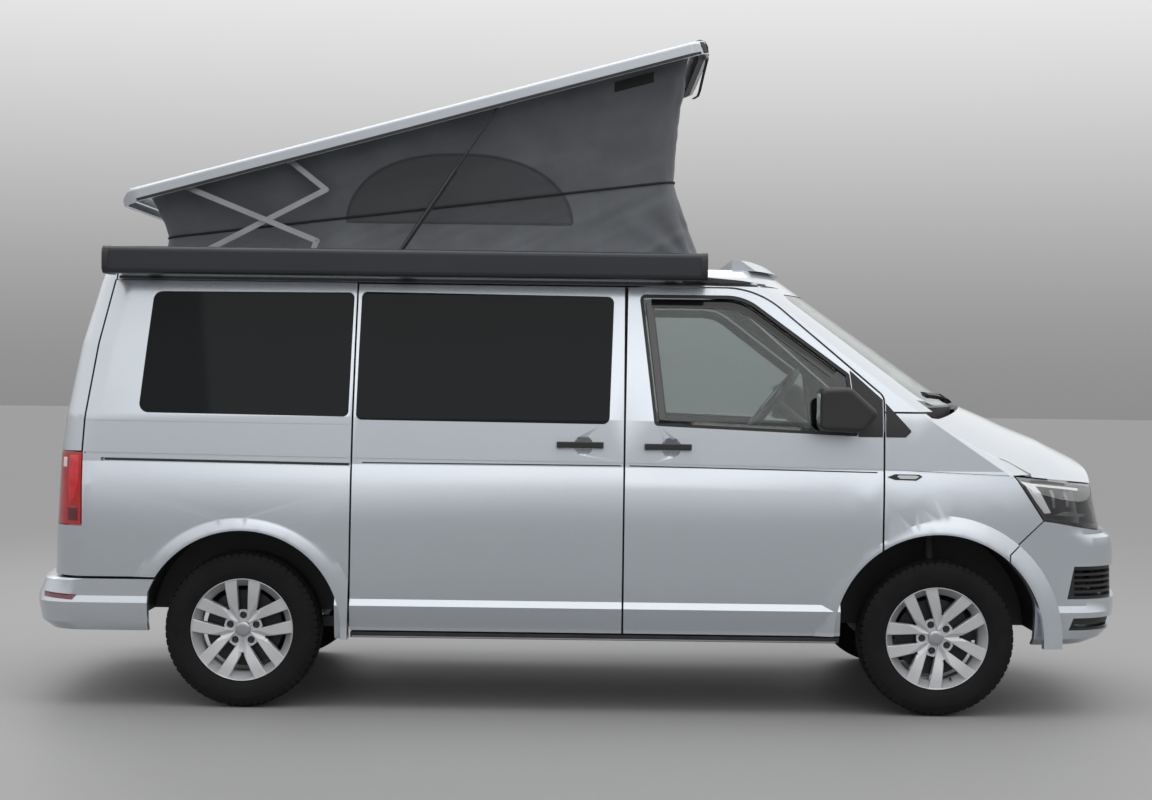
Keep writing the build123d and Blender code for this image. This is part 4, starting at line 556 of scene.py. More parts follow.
def build_tyre(name, x, y):
    half = tyre_profile()
    section = [(-side, radius, lug) for side, radius, lug in half] + half[-2::-1]
    shares = (0.0, 0.30, 0.62, 0.68, 0.82, 0.88)
    in_lug = (0, 0, 0, 1, 1, 0)
    verts = []
    for pitch in range(TREAD_PITCHES):
        for share, cut in zip(shares, in_lug):
            for side, radius, lug in section:
                lead = LUG_LEAN * math.copysign(1, side) if lug else 0.0
                angle = 2 * math.pi * (pitch + share + lead) / TREAD_PITCHES + TREAD_TURN
                reach = radius - lug * cut
                verts.append((x + reach * math.cos(angle), y + side, TYRE_RADIUS + reach * math.sin(angle)))
    count = len(section)
    rows = TREAD_PITCHES * len(shares)
    faces = []
    for row in range(rows):
        following = (row + 1) % rows
        for step in range(count - 1):
            a, b = row * count + step, following * count + step
            faces.append((a, a + 1, b + 1, b))
        a, b = row * count, following * count
        faces.append((a + count - 1, a, b, b + count - 1))
    obj = from_mesh(name, verts, faces, rubber)
    obj.data.set_sharp_from_angle(angle=math.radians(35))
    return obj


for end in ("front", "rear"):
    for side in ("right", "left"):
        low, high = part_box(f"tyre_{end}_{side}")
        tyre = build_tyre(f"road_tyre_{end}_{side}", (low.x + high.x) / 2, (low.y + high.y) / 2)
        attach(tyre, f"wheel_{end}_{side}")
        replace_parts(tyre, f"tyre_{end}_{side}")


# Helpers for trim on the solids' faces
FAR = 6.0
WELD = 0.00001
SINK = 0.0015
RIGHT, LEFT = -1, 1
SIDES = {"right": RIGHT, "left": LEFT}


class Shape:
    """Points and faces gathered for one mesh."""

    def __init__(self):
        self.verts = []
        self.faces = []

    def grid(self, rows, closed=False):
        """Faces between rows of points; closed joins each row's end to its start."""
        start, count = len(self.verts), len(rows[0])
        for row in rows:
            self.verts.extend(row)
        for row in range(len(rows) - 1):
            for column in range(count if closed else count - 1):
                a = start + row * count + column
                b = start + row * count + (column + 1) % count
                self.faces.append((a, b, b + count, a + count))

    def cap(self, loop):
        start = len(self.verts)
        self.verts.extend(loop)
        self.faces.append(tuple(range(start, start + len(loop))))

    def tube(self, rows):
        """A closed section carried along, with both ends shut."""
        self.grid(rows, closed=True)
        self.cap(rows[0])
        self.cap(rows[-1])


def piece(name, shape, material, body, sharp=35):
    """A finished mesh that moves with a body."""
    obj = from_mesh(name, shape.verts, shape.faces, material)
    work = bmesh.new()
    work.from_mesh(obj.data)
    bmesh.ops.remove_doubles(work, verts=work.verts, dist=WELD)
    bmesh.ops.recalc_face_normals(work, faces=work.faces)
    work.to_mesh(obj.data)
    work.free()
    obj.data.set_sharp_from_angle(angle=math.radians(sharp))
    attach(obj, body)
    return obj


def faces_of(*objects):
    """A search tree over the faces of some meshes."""
    verts, faces = [], []
    for obj in objects:
        start = len(verts)
        verts.extend(vertex.co.copy() for vertex in obj.data.vertices)
        faces.extend([start + corner for corner in face.vertices] for face in obj.data.polygons)
    return BVHTree.FromPolygons(verts, faces)


def tree_of(names):
    return faces_of(*(NODES[name] for name in names.split()))


def onto(tree, start, towards):
    """The first face met, and the way out of it."""
    hit = tree.ray_cast(Vector(start), Vector(towards))[0]
    if hit is None:
        raise ValueError(f"no face from {tuple(start)}")
    return hit, -Vector(towards)


def from_side(tree, side):
    """Faces met from one side."""
    return lambda x, z: onto(tree, (x, side * FAR, z), (0, -side, 0))


def along_x(tree, start, way):
    """Faces met from a plane across the van, looking forward or back."""
    return lambda y, z: onto(tree, (start, y, z), (way, 0, 0))


def walk(line, step):
    """Points along a line of corners, no further apart than a step."""
    points = []
    for start, end in zip(line, line[1:]):
        count = max(1, math.ceil(math.dist(start, end) / step))
        for number in range(count):
            share = number / count
            points.append((start[0] + (end[0] - start[0]) * share, start[1] + (end[1] - start[1]) * share))
    points.append(line[-1])
    return points


STRIP_SECTION = ((-0.5, 0.0), (-0.40, 1.0), (0.40, 1.0), (0.5, 0.0))


def lifted(where, u, v, rise, proud):
    """A point above a face by a share of a height, and below it at its foot."""
    point, out = where(u, v)
    return point + out * (rise * proud - (1 - rise) * SINK)


def strip(shape, where, line, wide, proud, step=0.04):
    """A flat bead along a line on a face."""
    points = walk(line, step)
    rows = []
    for number, (u, v) in enumerate(points):
        back = points[max(number - 1, 0)]
        ahead = points[min(number + 1, len(points) - 1)]
        x, y = (Vector(ahead) - Vector(back)).normalized()
        row = [(u - y * wide * share, v + x * wide * share, rise) for share, rise in STRIP_SECTION]
        rows.append([lifted(where, *place, proud) for place in row])
    shape.tube(rows)


PAD_RINGS = ((1.0, 0.0), (0.985, 0.75), (0.94, 1.0), (0.60, 1.0), (0.25, 1.0))


def pad(shape, where, outline, proud, step=0.02):
    """A raised patch on a face, from its outline."""
    edge = walk(list(outline) + [outline[0]], step)[:-1]
    middle = Vector((sum(u for u, v in edge) / len(edge), sum(v for u, v in edge) / len(edge)))
    rows = []
    for share, rise in PAD_RINGS:
        ring = [middle.lerp(Vector(corner), share) for corner in edge]
        rows.append([lifted(where, *place, rise, proud) for place in ring])
    shape.grid(rows, closed=True)
    shape.cap(rows[-1])
    shape.cap(rows[0])


def box_outline(low_u, high_u, low_v, high_v, corner):
    """A rectangle with rounded corners."""
    points = []
    for u, v, turn in (
        (high_u - corner, high_v - corner, 0), (low_u + corner, high_v - corner, 1),
        (low_u + corner, low_v + corner, 2), (high_u - corner, low_v + corner, 3),
    ):
        for step in range(5):
            angle = math.pi / 2 * (turn + step / 4)
            points.append((u + corner * math.cos(angle), v + corner * math.sin(angle)))
    return points


def turns(count):
    """The angles of one turn in equal steps."""
    return [2 * math.pi * step / count for step in range(count)]


# Wheels: sizes from the hub's middle and behind the rim's outer edge
RIM_OUT = 0.905
SPOKE_PAIRS = 5
PAIR_TURN = 2 * math.pi / SPOKE_PAIRS
HUB_RING = 0.034
SLOT_FLOOR = 0.083
SLOT_HALF_IN = (0.089, 0.0200)
SLOT_HALF_OUT = (0.200, 0.0245)
SLOT_TAPER = 0.045
WINDOW_TIP = 0.101
WINDOW_SLOPE = 0.503
WINDOW_ROUND = 0.012
SPOKE_BEVEL = 0.0025
CREASE_IN = (0.040, 0.12)
CREASE_OUT = (0.140, 0.97)
CREASE_SLOPE = 0.62
CREASE_MOST = 0.020
SPOKE_FACE = (
    (0.034, 0.032), (0.060, 0.030), (0.085, 0.026), (0.120, 0.018), (0.150, 0.012), (0.180, 0.008),
    (0.2165, 0.006),
)
SPOKE_BACK = ((0.034, 0.062), (0.150, 0.056), (0.187, 0.050), (0.2165, 0.009))
RIM_SECTION = (
    (0.2209, 0.012), (0.2212, 0.003), (0.2202, 0.0006), (0.2188, 0.0), (0.2172, 0.0014), (0.2160, 0.0060),
    (0.1880, 0.0440), (0.1862, 0.0500), (0.1868, 0.1200), (0.1960, 0.1500), (0.1990, 0.1720),
    (0.2200, 0.1800),
)
POCKET_DEPTH = 0.041
POCKET_BACK = 0.060
POCKET_LAP = 0.0006
POCKET_ROUND = 0.006
BOLT_RING = 0.059
BOLT_HOLE = 0.0158
BOLT_FLOOR = 0.063
BOLT_HEAD = 0.0098
BOLT_TOP = 0.049
BOLT_NOTCH = 0.96
BOLT_STEPS = 20
CAP_SECTION = (
    (0.0, 0.0262), (0.018, 0.0268), (0.0285, 0.0284), (0.0316, 0.0302), (0.0325, 0.0330), (0.0325, 0.0600),
)
DISC_SECTION = (
    (0.030, 0.066), (0.074, 0.066), (0.078, 0.070), (0.078, 0.083), (0.164, 0.083), (0.165, 0.084),
    (0.165, 0.108), (0.090, 0.110), (0.030, 0.112),
)
VALVE_PLACE = (0.1880, math.radians(-70))
VALVE_RADIUS = 0.0045
VALVE_DEPTHS = (0.020, 0.046)
FRONT_TURN = math.radians(21)
ROUND_STEPS = 96
CAP_STEPS = 48
ROD_STEPS = 12


def along_table(table, place):
    """A value between the rows of a two-column table."""
    for (low, first), (high, second) in zip(table, table[1:]):
        if place <= high:
            return first + (second - first) * max(0.0, (place - low) / (high - low))
    return table[-1][1]


def slot_half(radius):
    """Half the width of the slot between a pair of spokes."""
    if radius > SLOT_HALF_IN[0]:
        return along_table((SLOT_HALF_IN, SLOT_HALF_OUT), radius)
    return SLOT_HALF_IN[1] - (SLOT_HALF_IN[0] - radius) * SLOT_TAPER


def window_angle(radius):
    """Half the angle of the three-cornered window at a radius; nothing below its tip."""
    if radius <= WINDOW_TIP:
        return 0.0
    square = 1 + WINDOW_SLOPE ** 2
    run = (-WINDOW_TIP + math.sqrt(WINDOW_TIP ** 2 - square * (WINDOW_TIP ** 2 - radius ** 2))) / square
    half = run * WINDOW_SLOPE
    if run < WINDOW_ROUND:
        half = WINDOW_ROUND * WINDOW_SLOPE * math.sqrt(1 - (1 - run / WINDOW_ROUND) ** 2)
    return math.atan2(half, WINDOW_TIP + run)


SPOKE_RADII = (
    0.034, 0.042, 0.052, 0.062, 0.072, 0.083, 0.092, 0.0995, 0.101, 0.1016, 0.103, 0.1055, 0.109, 0.114,
    0.120, 0.127, 0.134, 0.140, 0.147, 0.156, 0.166, 0.176, 0.187, 0.198, 0.208, 0.2140, 0.2165,
)


def spoke_row(radius):
    """One row across half a spoke pair: (angle, front depth, back depth), from the slot to the window."""
    low = math.asin(min(0.999, slot_half(radius) / radius))
    high = PAIR_TURN / 2 - window_angle(radius)
    wide = max(high - low, 0.001)
    bevel = min(SPOKE_BEVEL / radius / wide, 0.2)
    crease = min(max(along_table((CREASE_IN, CREASE_OUT), radius), bevel * 1.5), 1 - bevel * 1.5)
    face, back = along_table(SPOKE_FACE, radius), along_table(SPOKE_BACK, radius)
    row = []
    for share in (0.0, bevel, crease * 0.6 + bevel * 0.4, crease, (crease + 1) / 2, 1 - bevel, 1.0):
        depth = face + min(CREASE_MOST, max(0.0, share - crease) * wide * radius * CREASE_SLOPE)
        if share == 0.0 or (share == 1.0 and radius > WINDOW_TIP):
            depth += SPOKE_BEVEL
        row.append((low + share * wide, min(depth, back - 0.002), back))
    return row


class Wheel:
    """Places points round one wheel's axle."""

    def __init__(self, end, side_name):
        low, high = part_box(f"rim_{end}_{side_name}")
        self.x, self.z = (low.x + high.x) / 2, (low.z + high.z) / 2
        self.side = SIDES[side_name]
        self.turn = math.pi / 2 + (FRONT_TURN if end == "front" else 0.0)

    def at(self, radius, angle, depth):
        return Vector((
            self.x + radius * math.cos(angle), self.side * (RIM_OUT - depth),
            self.z + radius * math.sin(angle),
        ))

    def revolve(self, shape, section, steps=ROUND_STEPS, closed=False):
        rows = []
        for step in range(steps + 1):
            angle = 2 * math.pi * step / steps
            rows.append([self.at(radius, angle, depth) for radius, depth in section])
        shape.grid(rows, closed=closed)

    def spoke(self, shape, middle, hand):
        """Half a spoke pair, on one hand of its slot."""
        rows = [[(r, middle + hand * a, d, b) for a, d, b in spoke_row(r)] for r in SPOKE_RADII]
        front = [[self.at(r, a, d) for r, a, d, b in row] for row in rows]
        back = [[self.at(r, a, b) for r, a, d, b in row] for row in rows]
        shape.grid(front)
        shape.grid(back)
        shape.grid([[f[0], b[0]] for f, b in zip(front, back)])
        open_rows = [n for n, radius in enumerate(SPOKE_RADII) if radius >= WINDOW_TIP]
        shape.grid([[front[n][-1], back[n][-1]] for n in open_rows])
        shape.grid([front[0], back[0]])
        shape.grid([front[-1], back[-1]])

    def pocket(self, shape, middle):
        """The sunk floor between two spokes, with its bolt hole."""
        half_in, half_out = slot_half(HUB_RING) + POCKET_LAP, slot_half(SLOT_FLOOR) + POCKET_LAP
        start, bend, flat_half = HUB_RING * 0.6, SLOT_FLOOR - POCKET_ROUND, half_out * 0.62
        outline = [(start, -half_in), (bend, -half_out), (SLOT_FLOOR, -flat_half)]
        outline += [(SLOT_FLOOR, flat_half), (bend, half_out), (start, half_in)]
        hole = [(BOLT_RING + BOLT_HOLE * math.cos(a), BOLT_HOLE * math.sin(a)) for a in turns(BOLT_STEPS)]
        flat = bmesh.new()
        edges = []
        for loop in (outline, hole):
            corners = [flat.verts.new((u, v, 0)) for u, v in loop]
            edges += [flat.edges.new((a, b)) for a, b in zip(corners, corners[1:] + corners[:1])]
        bmesh.ops.triangle_fill(flat, use_beauty=True, edges=edges)
        flat.verts.index_update()

        def placed(u, v, depth):
            return self.at(math.hypot(u, v), middle + math.atan2(v, u), depth)

        start = len(shape.verts)
        shape.verts.extend(placed(vertex.co.x, vertex.co.y, POCKET_DEPTH) for vertex in flat.verts)
        shape.faces.extend(tuple(start + vertex.index for vertex in face.verts) for face in flat.faces)
        flat.free()
        wall = [[placed(u, v, depth) for u, v in hole] for depth in (POCKET_DEPTH, BOLT_FLOOR)]
        shape.grid(wall, closed=True)
        end = [[placed(u, v, depth) for u, v in outline[1:5]] for depth in (POCKET_DEPTH, POCKET_BACK)]
        shape.grid(end)

    def bolt(self, shape, middle):
        floor, head = [], []
        for step, angle in enumerate(turns(BOLT_STEPS)):
            reach = BOLT_HEAD * (1.0 if step % 2 else BOLT_NOTCH)
            for ring, size in ((floor, BOLT_HOLE), (head, reach)):
                u, v = BOLT_RING + size * math.cos(angle), size * math.sin(angle)
                ring.append((math.hypot(u, v), middle + math.atan2(v, u)))
        shape.cap([self.at(r, a, BOLT_FLOOR - 0.001) for r, a in floor])
        shape.tube([[self.at(r, a, depth) for r, a in head] for depth in (BOLT_FLOOR, BOLT_TOP)])

    def valve(self, shape):
        radius, angle = VALVE_PLACE
        rows = []
        for depth in VALVE_DEPTHS:
            row = []
            for turn in turns(ROD_STEPS):
                reach = radius + VALVE_RADIUS * math.cos(turn)
                row.append(self.at(reach, angle + VALVE_RADIUS / radius * math.sin(turn), depth))
            rows.append(row)
        shape.tube(rows)


def build_wheel(end, side_name):
    wheel = Wheel(end, side_name)
    name = f"{end}_{side_name}"
    body = f"wheel_{name}"
    rim, bolts, cap, disc = Shape(), Shape(), Shape(), Shape()
    wheel.revolve(rim, RIM_SECTION)
    for pair in range(SPOKE_PAIRS):
        middle = wheel.turn + pair * PAIR_TURN
        for hand in (-1, 1):
            wheel.spoke(rim, middle, hand)
        wheel.pocket(rim, middle)
        wheel.bolt(bolts, middle)
    wheel.valve(bolts)
    wheel.revolve(cap, CAP_SECTION, steps=CAP_STEPS)
    wheel.revolve(disc, DISC_SECTION, closed=True)
    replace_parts(piece(f"alloy_rim_{name}", rim, alloy, body, sharp=28), f"rim_{name}")
    piece(f"wheel_bolts_{name}", bolts, gloss_black, body)
    piece(f"wheel_cap_{name}", cap, cap_finish, body)
    piece(f"brake_disc_{name}", disc, shaded_disc_steel, body)


for end in ("front", "rear"):
    for side_name in SIDES:
        build_wheel(end, side_name)


# Seats: crowned cushions on their boxes
CUSHION_STEPS = 30
CUSHION_ROUND = 5.0
SEAM_DEPTH, SEAM_HALF = 0.16, 0.035
DENT_DEPTH, DENT_HALF = 0.14, 0.03
ENDS_DRAWN, SIDES_DRAWN, WAIST_DRAWN = 0.02, 0.015, 0.025


def cushion_points(half, crown, seams, dents):
    """A rounded block with a crowned face, drawn-in sides and sewn seams, about its own middle."""
    long, wide, thick = half

    def placed(a, b, c):
        norm = sum(abs(part) ** CUSHION_ROUND for part in (a, b, c)) ** (1 / CUSHION_ROUND)
        a, b, c = a / norm, b / norm, c / norm
        flat = (1 - a * a) * (1 - b * b)
        rise = c * (1 + (crown * flat if c > 0 else 0.0)) / (1 + crown)
        if c > 0:
            for seam in seams:
                rise -= SEAM_DEPTH * math.exp(-((abs(b) - seam) / SEAM_HALF) ** 2) * max(0.0, 1 - a ** 6)
            for dent in dents:
                within = max(0.0, 1 - (b / seams[0]) ** 6 if seams else 1.0)
                rise -= DENT_DEPTH * math.exp(-((a - dent) / DENT_HALF) ** 2) * within
        drawn = 1 - WAIST_DRAWN * (1 - c * c)
        far = a * long * (1 - ENDS_DRAWN * (1 - b * b))
        aside = b * wide * drawn * (1 - SIDES_DRAWN * (1 - a * a))
        return Vector((far, aside, rise * thick))

    rows = []
    ticks = [math.sin(math.pi / 2 * (2 * n / CUSHION_STEPS - 1)) for n in range(CUSHION_STEPS + 1)]
    for fixed in (-1, 1):
        for order in range(3):
            side_rows = []
            for first in ticks:
                row = []
                for second in ticks:
                    corner = [first, second]
                    corner.insert(order, fixed)
                    row.append(placed(*corner))
                side_rows.append(row)
            rows.append(side_rows)
    return rows


def cushion(name, row, y):
    """A cushion whose length lies along row.way in the XZ plane and whose face looks up or forward."""
    along = Vector((row.way[0], 0, row.way[1])).normalized()
    across = Vector((0, 1, 0))
    up = along.cross(across)
    middle = Vector((row.middle[0], y, row.middle[1]))
    shape = Shape()
    for side_rows in cushion_points(row.half, row.crown, row.seams, row.dents):
        shape.grid([[middle + along * p.x + across * p.y + up * p.z for p in line] for line in side_rows])
    obj = piece(name, shape, seat_cloth, "body", sharp=60)
    if row.replaced:
        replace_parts(obj, row.replaced)


def hard_box(name, low, high, edge, taper, material):
    """A moulded box that narrows towards its top, with soft edges."""
    shape = Shape()
    rows = []
    for height, inset in ((0, edge), (edge, 0), (1 - edge, 0), (1, edge)):
        grow = taper * height + inset * 0.15
        z = low[2] + (high[2] - low[2]) * height
        outline = box_outline(low[0] + grow, high[0] - grow, low[1] + grow, high[1] - grow, 0.03)
        rows.append([Vector((x, y, z)) for x, y in outline])
    shape.tube(rows)
    piece(name, shape, material, "body")


SEAT_MIDDLE = 0.410
SEAT_BOX_HALF = 0.215
POST_PLACES = (-0.05, 0.05)
POST_ENDS = ((0.158, 1.435), (0.140, 1.530))
POST_RADIUS = 0.006
BENCH_MIDDLE = -0.110
Cushion = namedtuple("Cushion", "middle way half crown seams dents replaced")
SEAT_CUSHIONS = {
    "seat_base": Cushion(
        (0.555, 0.826), (-1.0, -0.055), (0.262, 0.245, 0.062), 0.30, (0.60,), (-0.25, 0.20), "front_seats",
    ),
    "seat_back": Cushion(
        (0.236, 1.150), (0.205, -0.640), (0.318, 0.240, 0.060), 0.30, (0.60,), (-0.45, 0.0, 0.45),
        "front_seats",
    ),
    "seat_head": Cushion((0.127, 1.575), (0.022, -0.170), (0.086, 0.126, 0.046), 0.25, (), (), None),
}
BENCH_CUSHIONS = {
    "bench_base": Cushion(
        (-1.010, 0.826), (-1.0, -0.045), (0.228, 0.482, 0.046), 0.25, (0.02, 0.92), (), "rear_bench",
    ),
    "bench_back": Cushion(
        (-1.350, 1.125), (0.130, -0.570), (0.288, 0.482, 0.046), 0.25, (0.02, 0.92), (0.35,), "rear_bench",
    ),
}


def build_seat(side_name, y):
    low, high = (0.330, y - SEAT_BOX_HALF, 0.462), (0.770, y + SEAT_BOX_HALF, 0.768)
    hard_box(f"seat_box_{side_name}", low, high, 0.06, 0.02, black_trim)
    for name, row in SEAT_CUSHIONS.items():
        cushion(f"{name}_{side_name}", row, y)
    posts = Shape()
    for post in POST_PLACES:
        rows = []
        for x, z in POST_ENDS:
            row = []
            for turn in turns(ROD_STEPS):
                ahead, aside = POST_RADIUS * math.cos(turn), POST_RADIUS * math.sin(turn)
                row.append(Vector((x + ahead, y + post + aside, z)))
            rows.append(row)
        posts.tube(rows)
    piece(f"head_posts_{side_name}", posts, bare_steel, "body")


for side_name, side in SIDES.items():
    build_seat(side_name, side * SEAT_MIDDLE)
hard_box("bench_box", (-1.325, -0.590, 0.462), (-0.825, 0.370, 0.790), 0.04, 0.004, laminate)
for name, row in BENCH_CUSHIONS.items():
    cushion(name, row, BENCH_MIDDLE)


# Trim on the solids' faces
FINE_STEP = 0.02


def trim(name, where, finish, body, pads=(), strips=()):
    """One piece of raised patches (outline, height) and beads (line, width, height, step) on a face."""
    shape = Shape()
    for row in pads:
        pad(shape, where, *row)
    for row in strips:
        strip(shape, where, *row)
    return piece(name, shape, finish, body)


def deeper(where, depth):
    """The same place, further in."""

    def moved(u, v):
        point, out = where(u, v)
        return point - out * depth, out

    return moved


# Outlines and lines on the sides: (x, z)
REPEATER = ((1.312, 1.034), (1.345, 1.022), (1.440, 1.020), (1.466, 1.036), (1.452, 1.046), (1.345, 1.047))
REPEATER_CLEAR = (
    (1.352, 1.036), (1.366, 1.027), (1.436, 1.026), (1.452, 1.036), (1.440, 1.042), (1.362, 1.043),
)
REFLECTOR = ((-2.318, 0.493), (-2.160, 0.484), (-2.178, 0.462), (-2.314, 0.470))
TAIL_BRIGHT = (
    (-2.206, 1.084), (-2.160, 1.084), (-2.160, 0.960), (-2.176, 0.900), (-2.200, 0.880), (-2.208, 0.960),
)
TAIL_DARK = ((-2.212, 0.862), (-2.160, 0.862), (-2.160, 0.800), (-2.212, 0.800))
TAIL_CLEAR = ((-2.240, 1.072), (-2.218, 1.072), (-2.218, 1.030), (-2.240, 1.030))
TAIL_PROUD = 0.001
LAMP_BAND = ((1.893, 1.020), (1.966, 1.004), (2.032, 0.884), (2.003, 0.881))
LAMP_ARM = ((1.962, 1.0010), (2.080, 0.9890), (2.180, 0.9770))
LAMP_BARS = (
    ((2.040, 0.905), (2.054, 0.905), (2.048, 0.980), (2.032, 0.980)),
    ((2.100, 0.908), (2.118, 0.908), (2.114, 0.968), (2.096, 0.968)),
)
LAMP_BROW = ((2.050, 0.874), (2.180, 0.864), (2.200, 0.874), (2.100, 0.890))
LAMP_TOP = ((1.950, 1.0160), (2.040, 1.0090), (2.120, 0.9985))
LAMP_PROUD = 0.002
LENS_DEPTH = 0.010
BAR_DEPTH = 0.020
# Gloss-black borders on the door glass: the wide top and rear bands are painted shade, standing for the
# dark door frame and shaded cabin seen through the glass.
BORDER_UP = ((0.296, 1.7690), (0.622, 1.7690), (0.679, 1.7593), (0.7306, 1.7310), (1.085, 1.4690))
BORDER_REAR = ((0.3475, 1.268), (0.2870, 1.770))
BORDER_LOW = ((0.330, 1.2580), (0.940, 1.2350))
BORDER_PROUD = 0.0012
SILL_LINE = ((-0.980, 0.3175), (1.105, 0.3175))
# Black strip under the awning: partly the roof gutter, partly painted shade below the awning.
GUTTER_SHADE_LINE = ((-2.030, 1.8575), (0.800, 1.8575))
ROOF_WEDGE = (
    (0.430, 1.8530), (0.430, 1.8890), (0.545, 1.8870), (0.695, 1.8745), (0.795, 1.8570), (0.872, 1.8500),
    (0.800, 1.8485), (0.600, 1.8500),
)
# Painted shadow: thin gloss-black beads along the waist crease stand for the crease's shadow line.
CREASE_SHADOW_REAR = ((-0.940, 1.0670), (0.170, 1.0675))
CREASE_SHADOW_FRONT = ((0.206, 1.0675), (1.270, 1.0525))
CREASE_SHADOW_BEAD = (0.006, 0.0008)
CREASE_SHADOW_PANELS = {"right": "sliding_door", "left": "side_left"}
RAIL_SHADOW_LINE = ((-2.050, 1.0679), (-1.000, 1.0574))
SideTrim = namedtuple(
    "SideTrim", "name nodes finish slot pads strips body depth", defaults=((), (), "body", 0.0),
)
SIDE_TRIM = (
    SideTrim("repeater", "front_fenders", gloss_black, "black_trim", [(REPEATER, 0.004)]),
    SideTrim("repeater_lens", "front_fenders", chrome, "lamp_inside", [(REPEATER_CLEAR, 0.0055)]),
    SideTrim("rear_reflector", "rear_bumper", dark_red, "lamp_red", [(REFLECTOR, 0.002)]),
    SideTrim("tail_bright", "tail_lamps", bright_red, "lamp_red", [(TAIL_BRIGHT, TAIL_PROUD)]),
    SideTrim("tail_dark", "tail_lamps", dark_red, "lamp_red", [(TAIL_DARK, TAIL_PROUD)]),
    SideTrim("tail_clear", "tail_lamps", white_lens, "lamp_clear", [(TAIL_CLEAR, TAIL_PROUD)]),
    SideTrim(
        "day_light", "headlamp_lenses", day_white, "lamp_clear", [(LAMP_BAND, LAMP_PROUD)],
        [(LAMP_ARM, 0.010, LAMP_PROUD, FINE_STEP)], depth=LENS_DEPTH,
    ),
    SideTrim(
        "lamp_reflectors", "headlamp_lenses", lamp_grey, "lamp_inside",
        [(bar, LAMP_PROUD) for bar in LAMP_BARS] + [(LAMP_BROW, 0.003)], depth=BAR_DEPTH,
    ),
    SideTrim(
        "lamp_edge", "headlamp_lenses", gloss_black, "lamp_inside",
        strips=[(LAMP_TOP, 0.012, 0.003, FINE_STEP)], depth=LENS_DEPTH,
    ),
    # Partly black trim, partly painted shade seen through the door glass.
    SideTrim(
        "window_border", "door_glass_{side} door_trim_{side}", gloss_black, "black_trim",
        body="{side}_door",
        strips=[
            (BORDER_UP, 0.040, BORDER_PROUD, FINE_STEP), (BORDER_REAR, 0.036, BORDER_PROUD, FINE_STEP),
            (BORDER_LOW, 0.016, BORDER_PROUD, FINE_STEP),
        ],
    ),
    SideTrim("sill_strip", "body_frame", chrome, "steel", strips=[(SILL_LINE, 0.007, 0.002)]),
    # Gutter strip: partly the black gutter, partly painted shade under the awning.
    SideTrim(
        "roof_gutter", "roof_frame cab_frame", black_trim, "black_trim", [(ROOF_WEDGE, 0.004)],
        [(GUTTER_SHADE_LINE, 0.014, 0.004)],
    ),
    # Painted shadow line along the front door's waist crease.
    SideTrim(
        "crease_front", "door_{side}", gloss_black, "black_trim", body="{side}_door",
        strips=[(CREASE_SHADOW_FRONT, *CREASE_SHADOW_BEAD)],
    ),
)
for side_name, side in SIDES.items():
    for row in SIDE_TRIM:
        where = deeper(from_side(tree_of(row.nodes.format(side=side_name)), side), row.depth)
        body = row.body.format(side=side_name)
        trim(f"{row.name}_{side_name}", where, row.finish, body, row.pads, row.strips)
    # Painted shadow: the rear part of the waist crease's shadow line, as a gloss-black bead.
    panel = from_side(tree_of(CREASE_SHADOW_PANELS[side_name]), side)
    crease = [(CREASE_SHADOW_REAR, *CREASE_SHADOW_BEAD)]
    trim(f"crease_rear_{side_name}", panel, gloss_black, "body", strips=crease)
# Painted shade: a gloss-black bead on the floor of the sliding door's rail slot, where shade falls.
slide_side = from_side(tree_of("side_right"), RIGHT)
trim("rail_slot_shadow", slide_side, gloss_black, "body", strips=[(RAIL_SHADOW_LINE, 0.011, 0.003)])


# Fabric trim: elastic line at the waist, window binding and vent patch
ELASTIC_HALF = 0.005
ELASTIC_OUT = 0.003
ELASTIC_SECTION = ((1, 0.4), (0.4, 1), (-1, 1), (-1, -1), (0.4, -1), (1, -0.4))
BINDING_BEAD = (0.012, 0.002, FINE_STEP)
ARCH_STEPS = 40
ARCH_POWER = 0.83
VENT_PATCH = ((0.125, 2.708), (0.300, 2.755), (0.300, 2.800), (0.125, 2.752))
VENT_PROUD = 0.003


def build_elastic():
    rows = []
    for column in range(FABRIC_COLUMNS // 2 + 1):
        share = (2 * column / FABRIC_COLUMNS) % 1.0
        outward = way_out(share)
        middle = fabric_rings(share)[1] + outward * ELASTIC_OUT
        row = []
        for out, rise in ELASTIC_SECTION:
            row.append(middle + outward * out * ELASTIC_HALF + Vector((0, 0, rise * ELASTIC_HALF)))
        rows.append(row)
    shape = Shape()
    shape.grid(rows, closed=True)
    flattens(piece("fabric_elastic", shape, webbing, "body"))


def window_arch():
    """The net window's round edge, from its rear corner to its front one."""
    arch = []
    for step in range(ARCH_STEPS + 1):
        angle = math.pi * step / ARCH_STEPS
        across = math.copysign(abs(math.cos(angle)) ** ARCH_POWER, math.cos(angle))
        arch.append((NET_MIDDLE - NET_HALF * across, NET_BASE + NET_TALL * math.sin(angle)))
    return arch


def build_bindings():
    tree = faces_of(fabric)
    foot = [(NET_MIDDLE - NET_HALF, NET_BASE), (NET_MIDDLE + NET_HALF, NET_BASE)]
    beads = [(line, *BINDING_BEAD) for line in (window_arch(), foot)]
    for side_name, side in SIDES.items():
        where = from_side(tree, side)
        flattens(trim(f"window_binding_{side_name}", where, binding_cloth, "body", strips=beads))
        patch = [(VENT_PATCH, VENT_PROUD)]
        flattens(trim(f"vent_patch_{side_name}", where, webbing, "body", pads=patch))


build_elastic()
build_bindings()


